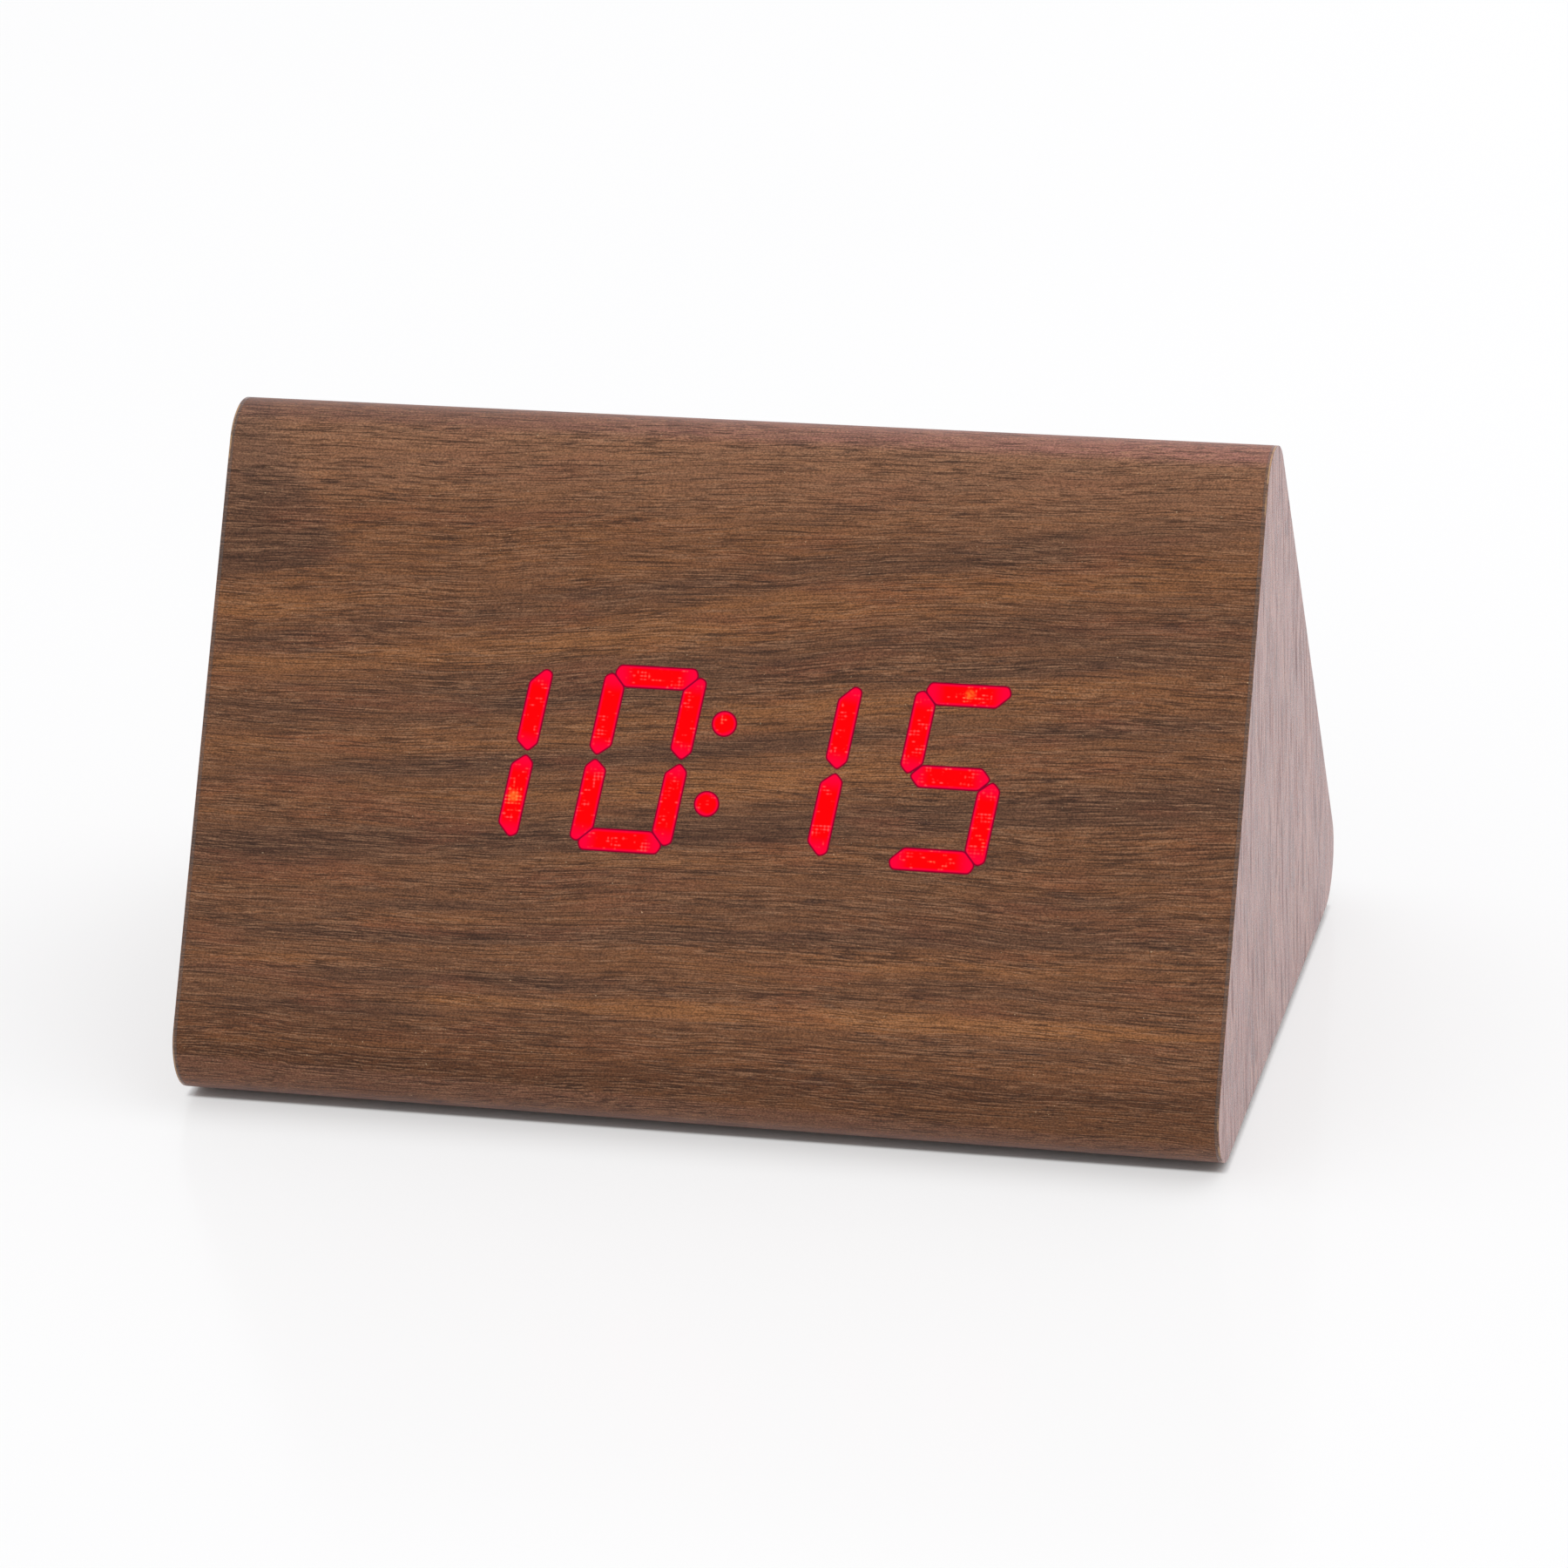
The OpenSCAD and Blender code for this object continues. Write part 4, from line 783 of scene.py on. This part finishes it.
def glowing_film():
    finish = Finish("glowing_film")
    point = finish.place()
    along = finish.split(point)[0]
    climb = finish.math("SUBTRACT", finish.vector("DOT_PRODUCT", point, UP_FRONT), face_middle)
    spot = finish.join(along, climb, 0.0)
    marks = {}
    for name in ("edge_gap", "segment_place"):
        reader = finish.tree.nodes.new("ShaderNodeAttribute")
        reader.attribute_name = name
        marks[name] = reader.outputs["Fac"]
    middle = finish.fade(finish.math("ABSOLUTE", marks["segment_place"]), 0.92, 0.5)
    core = finish.math("MULTIPLY", middle, finish.fade(marks["edge_gap"], 0.22, 0.5))
    woven = finish.math("MULTIPLY", middle, finish.fade(marks["edge_gap"], 0.16, 0.32))

    warm = 0.0
    for x, v, spread, strength in WARM_SPOTS:
        away = finish.vector("LENGTH", finish.vector("SUBTRACT", spot, (x, v, 0)))
        warm = finish.total(warm, finish.fade(away, spread, 0.0, 0.0, strength))

    cells = finish.vector("DIVIDE", spot, (FLECK_WIDTH, FLECK_HEIGHT, 1.0))
    column, row, _ = finish.split(finish.vector("FLOOR", cells))
    place = finish.split(finish.vector("SUBTRACT", finish.vector("FRACTION", cells), (0.5, 0.5, 0)))
    chance = finish.tree.nodes.new("ShaderNodeTexWhiteNoise")
    chance.noise_dimensions = "2D"
    finish.feed(chance.inputs["Vector"], finish.join(column, row, 0.0))
    cluster = finish.noise(spot, (1.8, 1.2, 1), 1.0, shift=1.7)
    shared = finish.total(finish.sway(chance.outputs["Value"], 0.3), finish.sway(cluster, 1.1))
    shared = finish.total(shared, finish.math("MULTIPLY", warm, 0.16))
    fleck = 0.0
    for across, lane, least in ((0, row, 0.60), (1, column, 0.67)):
        run = finish.split(cells)[across]
        dash = finish.noise(finish.join(run, lane, 3.0 * across), (2.4, 0.37, 1.0), 0.5)
        thread = finish.fade(finish.math("ABSOLUTE", place[1 - across]), 0.32, 0.06)
        knot = finish.fade(finish.math("ABSOLUTE", place[across]), 0.42, 0.1, 0.3, 1.0)
        seen = finish.fade(finish.total(dash, shared), least, least + 0.24)
        spark = finish.math("MULTIPLY", finish.math("MULTIPLY", thread, knot), seen)
        fleck = finish.math("MAXIMUM", fleck, spark)
    fleck = finish.math("MULTIPLY", fleck, woven)

    light = finish.mix(core, RIM_RED, CORE_RED)
    # The outline is dark: a dimmer glow and the painted shade of the groove round the segment.
    light = finish.mix(finish.fade(marks["edge_gap"], *OUTLINE_SHADE_FADE), light, OUTLINE_SHADE_RED)
    tint = finish.mix(warm, FLECK_PINK, FLECK_GOLD)
    light = finish.mix(finish.math("MULTIPLY", fleck, FLECK_SHARE), light, tint)
    mottle = finish.fade(finish.noise(spot, (0.45, 0.3, 1), 1.0), 0.36, 0.6, 0.3, 1.0)
    heart = finish.math("MULTIPLY", mottle, woven)
    heart = finish.math("MULTIPLY", finish.fade(warm, 0.76, 1.0, 0.0, 0.42), heart)
    light = finish.mix(heart, light, HEART_AMBER)
    finish.set(Emission_Color=light, Emission_Strength=1.0, Base_Color=UNLIT_RED)
    finish.set(Roughness=finish.fade(cluster, 0.3, 0.7, 0.4, 0.5))
    finish.shader.inputs["Specular IOR Level"].default_value = 0.02
    return finish.material


# %% [markdown]
# The pieces themselves are rebuilt with soft corners. The outline of each segment is read from the
# frame's own solid, spread into the groove round it and smoothed. A narrow band of film fills
# what is left of the hole. The light spreads a little further in the film than the hole does,
# so each segment has a halo, a thin skin that lies over the film's edge. A straight spine runs
# inside the segment, and rings of points slide from the halo's edge towards the spine, so they
# never cross.

# %% Outlines of the lit segments
SAME_POINT = 1e-7


def outlines(name):
    """Closed outlines, in metres, of a lit node's faces on the front plane."""
    mesh = bmesh.new()
    mesh.from_mesh(nodes[name].data)
    bmesh.ops.remove_doubles(mesh, verts=mesh.verts, dist=SAME_POINT)
    mesh.normal_update()
    inner = [f for f in mesh.faces if f.normal.dot(OUT_FRONT) < 0.99]
    bmesh.ops.delete(mesh, geom=inner, context="FACES")
    rims = {}
    for edge in mesh.edges:
        if edge.is_boundary:
            for a, b in (edge.verts, reversed(edge.verts)):
                rims.setdefault(a, []).append(b)
    loops = []
    left = set(rims)
    for start in list(mesh.verts):
        if start not in left:
            continue
        loop = [start]
        left.discard(start)
        ahead = [v for v in rims[start] if v in left]
        while ahead:
            loop.append(ahead[0])
            left.discard(ahead[0])
            ahead = [v for v in rims[loop[-1]] if v in left]
        loops.append([v.co.copy() for v in loop])
    mesh.free()
    return loops


# %% Lit pieces
LIT_SPREAD = 0.08 * MM
FILM_SPREAD = 0.098 * MM
HALO_SPREAD = 0.17 * MM
OUTLINE_STEP = 0.08 * MM
LIT_SMOOTHINGS = 32
HALO_SMOOTHINGS = 14
# Depth of a lit piece, and heights of the halo's underside and top over the film, in millimetres.
LIT_DEPTH = 0.25
HALO_LIFT = 0.01
HALO_TOP = 0.03
# Rings from the halo's edge to the spine: the share of the way out, and the height over the film.
RINGS = [(1.0, HALO_LIFT), (0.985, 0.022)]
RINGS += [(share, HALO_TOP) for share in (0.96, 0.92, 0.86, 0.72, 0.5, 0.2)]


def spread_corners(outline, width):
    """Corners of an outline after each of its sides moves outwards by a width."""
    corners = []
    for before, spot, after in zip(outline[-1:] + outline[:-1], outline, outline[1:] + outline[:1]):
        one = (spot - before).cross(OUT_FRONT).normalized()
        two = (after - spot).cross(OUT_FRONT).normalized()
        corners.append(spot + (one + two) / (1 + one.dot(two)) * width)
    return corners


def stepped(corners, counts):
    """Points along the sides of an outline, with a given count on each side."""
    points = []
    for start, end, parts in zip(corners, corners[1:] + corners[:1], counts):
        points += [start.lerp(end, k / parts) for k in range(parts)]
    return points


def smoothed(points, times):
    """An outline whose corners grow softer each time."""
    for _ in range(times):
        ahead = points[1:] + points[:1]
        behind = points[-1:] + points[:-1]
        points = [(a + 2 * p + b) / 4 for a, p, b in zip(behind, points, ahead)]
    return points


def three_outlines(outline):
    """Soft outline of a lit piece, sharp edge of the film and edge of the halo, point by point."""
    if (outline[1] - outline[0]).cross(outline[2] - outline[1]).dot(OUT_FRONT) < 0:
        outline = outline[::-1]
    corners = spread_corners(outline, LIT_SPREAD)
    lengths = [(end - start).length for start, end in zip(corners, corners[1:] + corners[:1])]
    counts = [max(1, round(length / OUTLINE_STEP)) for length in lengths]
    soft = smoothed(stepped(corners, counts), LIT_SMOOTHINGS)
    sharp = stepped(spread_corners(outline, FILM_SPREAD), counts)
    halo = smoothed(stepped(spread_corners(outline, HALO_SPREAD), counts), HALO_SMOOTHINGS)
    return soft, sharp, halo


def add_border(mesh, soft, sharp, thickness):
    """Adds the closed band of film between a soft outline and a sharp one."""
    rings = []
    for outline, sunk in ((soft, 0.0), (sharp, 0.0), (sharp, thickness), (soft, thickness)):
        rings.append([mesh.verts.new(p - OUT_FRONT * sunk * MM) for p in outline])
    count = len(soft)
    for one, two in zip(rings, rings[1:] + rings[:1]):
        for k in range(count):
            n = (k + 1) % count
            mesh.faces.new((one[k], one[n], two[n], two[k]))


def add_segment(mesh, soft, outline):
    """Adds one closed segment with its halo, and its two values at each point."""
    edge_gap = mesh.verts.layers.float["edge_gap"]
    segment_place = mesh.verts.layers.float["segment_place"]
    middle = sum(outline, Vector()) / len(outline)
    tip_a = max(outline, key=lambda p: (p - middle).length)
    tip_b = max(outline, key=lambda p: (p - tip_a).length)
    spine = (tip_b - tip_a) / 2
    axis = spine.normalized()
    centre = (tip_a + tip_b) / 2
    side = axis.cross(OUT_FRONT)
    half_width = max(abs(side.dot(p - centre)) for p in outline)
    half_spine = max(spine.length - half_width, 0.0)
    near = KDTree(len(outline))
    for k, p in enumerate(outline):
        near.insert(p, k)
    near.balance()

    def point(spot, lift):
        vert = mesh.verts.new(spot + OUT_FRONT * lift * MM)
        vert[edge_gap] = near.find(spot)[2] / MM
        vert[segment_place] = axis.dot(spot - centre) / spine.length
        return vert

    rows = [[point(p, lift) for p in soft] for lift in (-LIT_DEPTH, HALO_LIFT)]
    for share, lift in RINGS:
        row = []
        for p in outline:
            along = min(max(axis.dot(p - centre), -half_spine), half_spine)
            root = centre + axis * along
            row.append(point(root + (p - root) * share, lift))
        rows.append(row)
    count = len(outline)
    for low, high in zip(rows, rows[1:]):
        for k in range(count):
            mesh.faces.new((low[k], low[(k + 1) % count], high[(k + 1) % count], high[k]))
    mesh.faces.new(rows[-1])
    mesh.faces.new(rows[0][::-1])


def add_piece(name, mesh, materials, body, slot, *replaced):
    """Makes an object of a mesh and puts it on its body in place of some nodes."""
    bmesh.ops.recalc_face_normals(mesh, faces=mesh.faces)
    data = bpy.data.meshes.new(name)
    mesh.to_mesh(data)
    mesh.free()
    for material in materials:
        data.materials.append(material)
    piece = bpy.data.objects.new(name, data)
    scene.collection.objects.link(piece)
    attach(piece, body)
    if replaced:
        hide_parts(*replaced)
    return piece


glow = glowing_film()
film = walnut_film()
for name in FIGURES:
    lit = bmesh.new()
    lit.verts.layers.float.new("edge_gap")
    lit.verts.layers.float.new("segment_place")
    border = bmesh.new()
    loops = outlines(name)
    for outline in loops:
        soft, sharp, halo = three_outlines(outline)
        add_segment(lit, soft, halo)
        add_border(border, soft, sharp, LIT_DEPTH)
    piece = add_piece(name + "_glow", lit, [glow], "case", "lit_film", name)
    add_piece(name + "_border", border, [film], "case", "walnut_film")
    print(name, "has", len(loops), "lit segments,", len(piece.data.polygons), "faces")

# %% [markdown]
# ## Finishes on the frame's own pieces
#
# A piece of the frame already has the right shape, so it keeps its mesh and takes a finish. The
# frame names the finish slot of each piece, and one table says what each slot is made of.

# %% Give each node its finish
# Moulded and painted slots: name, dark and light colour, roughness, size and depth of the texture,
# and then, where they aren't the usual ones, gloss and metal.
MOULDED = {
    "foot_rubber": ("black_rubber", (26, 26, 26), (40, 39, 38), 0.72, 0.4, 0.03, 0.3),
    "white_plastic": ("white_housing", (226, 225, 220), (240, 239, 236), 0.5, 0.5, 0.02),
    "chip_epoxy": ("black_epoxy", (24, 24, 26), (38, 38, 40), 0.55, 0.12, 0.01),
    "steel": ("nickel_plate", (176, 174, 170), (206, 205, 202), 0.26, 0.3, 0.006, 0.5, 1.0),
    "black_screw": ("blacked_steel", (34, 34, 36), (58, 58, 60), 0.34, 0.3, 0.01, 0.5, 0.8),
    "socket_plastic": ("socket_plastic_ivory", (222, 214, 196), (236, 230, 214), 0.45, 0.4, 0.02),
    "case_plastic": ("textured_black", (20, 20, 21), (30, 30, 32), 0.5, 0.35, 0.03),
    "button_plastic": ("satin_black_button", (24, 24, 26), (34, 34, 36), 0.33, 0.25, 0.008),
    "plunger_plastic": ("grey_plunger", (200, 198, 192), (220, 218, 212), 0.4, 0.3, 0.01),
    "bead": ("dipped_bead", (30, 30, 34), (52, 52, 58), 0.25, 0.6, 0.02),
    "capacitor_sleeve": ("blue_sleeve", (34, 48, 96), (48, 66, 124), 0.32, 0.5, 0.015),
    "cell_sleeve": ("slate_sleeve", (54, 70, 92), (70, 88, 112), 0.3, 0.5, 0.008),
    "red_sleeve": ("red_wire_sleeve", (150, 20, 18), (186, 32, 26), 0.4, 0.4, 0.02),
    "black_sleeve": ("black_wire_sleeve", (20, 20, 20), (36, 36, 36), 0.4, 0.4, 0.02),
}
FINISHES = {
    "mdf": fibre_board(),
    "walnut_film": film,
    "end_film": walnut_end(),
    "guide_resin": light_resin("milky_guide", colour(246, 226, 222), colour(236, 206, 200), 0.4),
    "led": light_resin("diode_gel", colour(248, 232, 160), colour(236, 200, 110), 0.3),
    "circuit_board": circuit_board(),
    "ribbon_sleeve": ribbon_sleeve(),
}
for slot, (name, dark, light, *rest) in MOULDED.items():
    FINISHES[slot] = moulded(name, colour(*dark), colour(*light), *rest)
dressed = 0
for name, node in nodes.items():
    finish = FINISHES.get(node.material_slots[0].material.name)
    if finish:
        node.material_slots[0].material = finish
        dressed += 1
print("Dressed", dressed, "of", len(nodes), "nodes")

# %% [markdown]
# ## Cells and springs behind the door
#
# The battery door swings down, so what lies behind it is seen. The frame's cells are plain rods,
# and its springs are coarse wire. A turned profile gives a cell its crimped sleeve, bare steel
# ends and terminal, and a swept circle gives smooth wire. Their places and sizes are read
# from the frame's own solids.


# %% Reading solids, turning and sweeping
def solids(name):
    """Lists of points, in metres, one list for each separate solid of a node."""
    mesh = bmesh.new()
    mesh.from_mesh(nodes[name].data)
    bmesh.ops.remove_doubles(mesh, verts=mesh.verts, dist=SAME_POINT)
    left = set(mesh.verts)
    groups = []
    for start in list(mesh.verts):
        if start not in left:
            continue
        group = [start]
        left.discard(start)
        for vert in group:
            for edge in vert.link_edges:
                other = edge.other_vert(vert)
                if other in left:
                    left.discard(other)
                    group.append(other)
        groups.append([v.co.copy() for v in group])
    mesh.free()
    return groups


def corners_of(points):
    low = Vector([min(p[k] for p in points) for k in range(3)])
    high = Vector([max(p[k] for p in points) for k in range(3)])
    return low, high


def turned(mesh, foot, axis, profile, steps=48):
    """Adds a form turned about an axis. A profile row is (along, radius, finish) in millimetres."""
    side = axis.cross(Vector((0, 0, 1))).normalized()
    upright = side.cross(axis)
    rows = []
    for along, radius, finish in profile:
        centre = foot + axis * along * MM
        angles = [2 * math.pi * k / steps for k in range(steps)]
        ring = [centre + (side * math.cos(a) + upright * math.sin(a)) * radius * MM for a in angles]
        rows.append(([mesh.verts.new(p) for p in ring], finish))
    for (low, _), (high, finish) in zip(rows, rows[1:]):
        for k in range(steps):
            face = mesh.faces.new((low[k], low[(k + 1) % steps], high[(k + 1) % steps], high[k]))
            face.material_index = finish
            face.smooth = True
    for row, finish in (rows[0], rows[-1]):
        mesh.faces.new(row).material_index = finish


def swept(mesh, path, radius, sides=14):
    """Adds a round wire of a radius in metres along a path of points."""
    rows = []
    for k, spot in enumerate(path):
        ahead = (path[min(k + 1, len(path) - 1)] - path[max(k - 1, 0)]).normalized()
        side = ahead.cross(Vector((1, 0, 0))).normalized()
        other = ahead.cross(side)
        angles = [2 * math.pi * n / sides for n in range(sides)]
        ring = [spot + (side * math.cos(a) + other * math.sin(a)) * radius for a in angles]
        rows.append([mesh.verts.new(p) for p in ring])
    for low, high in zip(rows, rows[1:]):
        for n in range(sides):
            mesh.faces.new((low[n], low[(n + 1) % sides], high[(n + 1) % sides], high[n])).smooth = True
    mesh.faces.new(rows[0])
    mesh.faces.new(rows[-1])


# %% Cells
CELL_STEEL, CELL_SLEEVE, CELL_BAND = range(3)
END_SLICE = 0.05 * MM


def cell_profile(length, radius, button_h, button_r):
    """Foot, crimped sleeve with a pale band, shoulder and terminal of a cell."""
    shoulder = length - button_h
    return [
        (0.00, 0.9, CELL_STEEL),
        (0.00, radius - 1.7, CELL_STEEL),
        (0.12, radius - 1.45, CELL_STEEL),
        (0.45, radius - 1.4, CELL_STEEL),
        (0.45, radius - 0.75, CELL_STEEL),
        (0.25, radius - 0.6, CELL_SLEEVE),
        (0.35, radius - 0.2, CELL_SLEEVE),
        (0.75, radius - 0.02, CELL_SLEEVE),
        (shoulder - 10.0, radius - 0.02, CELL_SLEEVE),
        (shoulder - 6.0, radius - 0.02, CELL_BAND),
        (shoulder - 1.6, radius - 0.02, CELL_SLEEVE),
        (shoulder - 1.1, radius - 0.14, CELL_SLEEVE),
        (shoulder - 0.6, radius - 0.12, CELL_SLEEVE),
        (shoulder - 0.15, radius - 0.35, CELL_SLEEVE),
        (shoulder, radius - 0.8, CELL_SLEEVE),
        (shoulder - 0.2, radius - 1.1, CELL_STEEL),
        (shoulder - 0.1, button_r + 0.6, CELL_STEEL),
        (shoulder + 0.1, button_r + 0.05, CELL_STEEL),
        (length - 0.25, button_r, CELL_STEEL),
        (length - 0.05, button_r - 0.2, CELL_STEEL),
        (length, button_r - 0.5, CELL_STEEL),
        (length, 0.5, CELL_STEEL),
    ]


pale_band = moulded("pale_band", colour(196, 198, 196), colour(216, 218, 214), 0.3, 0.5, 0.008)
mesh = bmesh.new()
for points in solids("battery_cells"):
    low, high = corners_of(points)
    middle = (low + high) / 2
    at_right = [p for p in points if p.x > high.x - END_SLICE]
    at_left = [p for p in points if p.x < low.x + END_SLICE]
    reach_right, reach_left = (max((p - middle).yz.length for p in ends) for ends in (at_right, at_left))
    button_on_right = reach_right < reach_left
    axis = Vector((1 if button_on_right else -1, 0, 0))
    foot = Vector((low.x if button_on_right else high.x, middle.y, middle.z))
    steps_in = sorted({round(abs(p.x - foot.x) / MM, 3) for p in points})
    length = (high.x - low.x) / MM
    radius = (high.y - low.y) / 2 / MM
    button_r = min(reach_right, reach_left) / MM
    turned(mesh, foot, axis, cell_profile(length, radius, length - steps_in[-2], button_r))
cell_looks = [FINISHES["steel"], FINISHES["cell_sleeve"], pale_band]
cells = add_piece("dressed_cells", mesh, cell_looks, "case", "cell_sleeve", "battery_cells")
print("Cells:", len(cells.data.polygons), "faces")

# %% Springs
SPRING_WIRE = 0.7 * MM
SPRING_TURNS = 3.5
SPRING_STEPS = 112

mesh = bmesh.new()
for points in solids("battery_springs"):
    low, high = corners_of(points)
    middle = (low + high) / 2
    inward = 1 if middle.x < 0 else -1
    seat = low.x if inward > 0 else high.x
    rise = high.x - low.x - SPRING_WIRE
    radius = (high.z - low.z) / 2 - SPRING_WIRE / 2
    path = []
    for k in range(SPRING_STEPS + 1):
        share = k / SPRING_STEPS
        angle = 2 * math.pi * SPRING_TURNS * share
        x = seat + inward * (SPRING_WIRE / 2 + rise * share)
        y = middle.y + inward * radius * math.cos(angle)
        path.append(Vector((x, y, middle.z + radius * math.sin(angle))))
    swept(mesh, path, SPRING_WIRE / 2)
springs = add_piece("coiled_springs", mesh, [FINISHES["steel"]], "case", "steel", "battery_springs")
print("Springs:", len(springs.data.polygons), "faces")

# %% [markdown]
# ## Marks beside the buttons
#
# Three buttons on the back need telling apart, so a ring, a triangle that points up and one that
# points down are printed below them. A print has almost no thickness, so each mark is a
# prism that stands 0.02 mm proud of the panel.

# %% Printed marks
MARK_DROP = 7.0 * MM
MARK_HALF = 1.1 * MM
MARK_PROUD = 0.02 * MM
RING_SHARE = 0.66
RING_STEPS = 40
POINT_FOOT = -0.8 * MARK_HALF
panel_face = reach(["control_panel"], OUT_BACK)[1] * MM


def printed(name, button, outline, hole=()):
    """A thin print below a button, from an outline across the panel and up it."""
    low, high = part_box(button)
    middle = (Vector(low) + Vector(high)) / 2
    across = Vector((-1, 0, 0))
    height = middle.dot(UP_BACK) - MARK_DROP
    origin = across * middle.dot(across) + UP_BACK * height + OUT_BACK * panel_face
    mesh = bmesh.new()
    loops = [outline, hole] if hole else [outline]
    rings = []
    for loop in loops:
        for sunk in (0.0, 1.0):
            level = origin + OUT_BACK * MARK_PROUD * (1 - 2 * sunk)
            rings.append([mesh.verts.new(level + across * u + UP_BACK * v) for u, v in loop])
    pairs = [(rings[0], rings[1])]
    if hole:
        pairs += [(rings[2], rings[3]), (rings[0], rings[2]), (rings[1], rings[3])]
    else:
        mesh.faces.new(rings[0])
        mesh.faces.new(rings[1])
    for one, two in pairs:
        for k in range(len(one)):
            n = (k + 1) % len(one)
            mesh.faces.new((one[k], one[n], two[n], two[k]))
    return add_piece(name, mesh, [printed_white], "case", "white_plastic")


printed_white = moulded("printed_white", colour(196, 196, 194), colour(214, 214, 212), 0.5, 0.12, 0.004)
angles = [2 * math.pi * k / RING_STEPS for k in range(RING_STEPS)]
ring_outer = [(MARK_HALF * math.cos(a), MARK_HALF * math.sin(a)) for a in angles]
ring_inner = [(RING_SHARE * u, RING_SHARE * v) for u, v in ring_outer]
point_up = [(-MARK_HALF, POINT_FOOT), (MARK_HALF, POINT_FOOT), (0, MARK_HALF)]
point_down = [(u, -v) for u, v in reversed(point_up)]
printed("mark_set", "set_button", ring_outer, ring_inner)
printed("mark_up", "up_button", point_up)
printed("mark_down", "down_button", point_down)
print("Marks at", round(panel_face / MM, 2), "mm out of the back")

# %% [markdown]
# ## Softened edges
#
# Moulded plastic has no razor edges. The frame's solids do, so a bevel modifier rounds them by a
# fraction of a millimetre, after a weld that joins the split points of the imported mesh.
# Both are modifiers, so the frame's own points stay as they are.

# %% Bevels
WELD_REACH = 1e-6
BEVEL_STEPS = 3
SHARP_ANGLE = math.radians(40)
EDGE_ROUNDING = {
    "control_panel": 0.25,
    "battery_box": 0.2,
    "battery_door": 0.25,
    "film_end_left": 0.1,
    "film_end_right": 0.1,
}
for name, width in EDGE_ROUNDING.items():
    weld = nodes[name].modifiers.new("weld", "WELD")
    weld.merge_threshold = WELD_REACH
    bevel = nodes[name].modifiers.new("rounding", "BEVEL")
    bevel.width = width * MM
    bevel.segments = BEVEL_STEPS
    bevel.limit_method = "ANGLE"
    bevel.angle_limit = SHARP_ANGLE
    bevel.harden_normals = True
print("Rounded", len(EDGE_ROUNDING), "nodes")
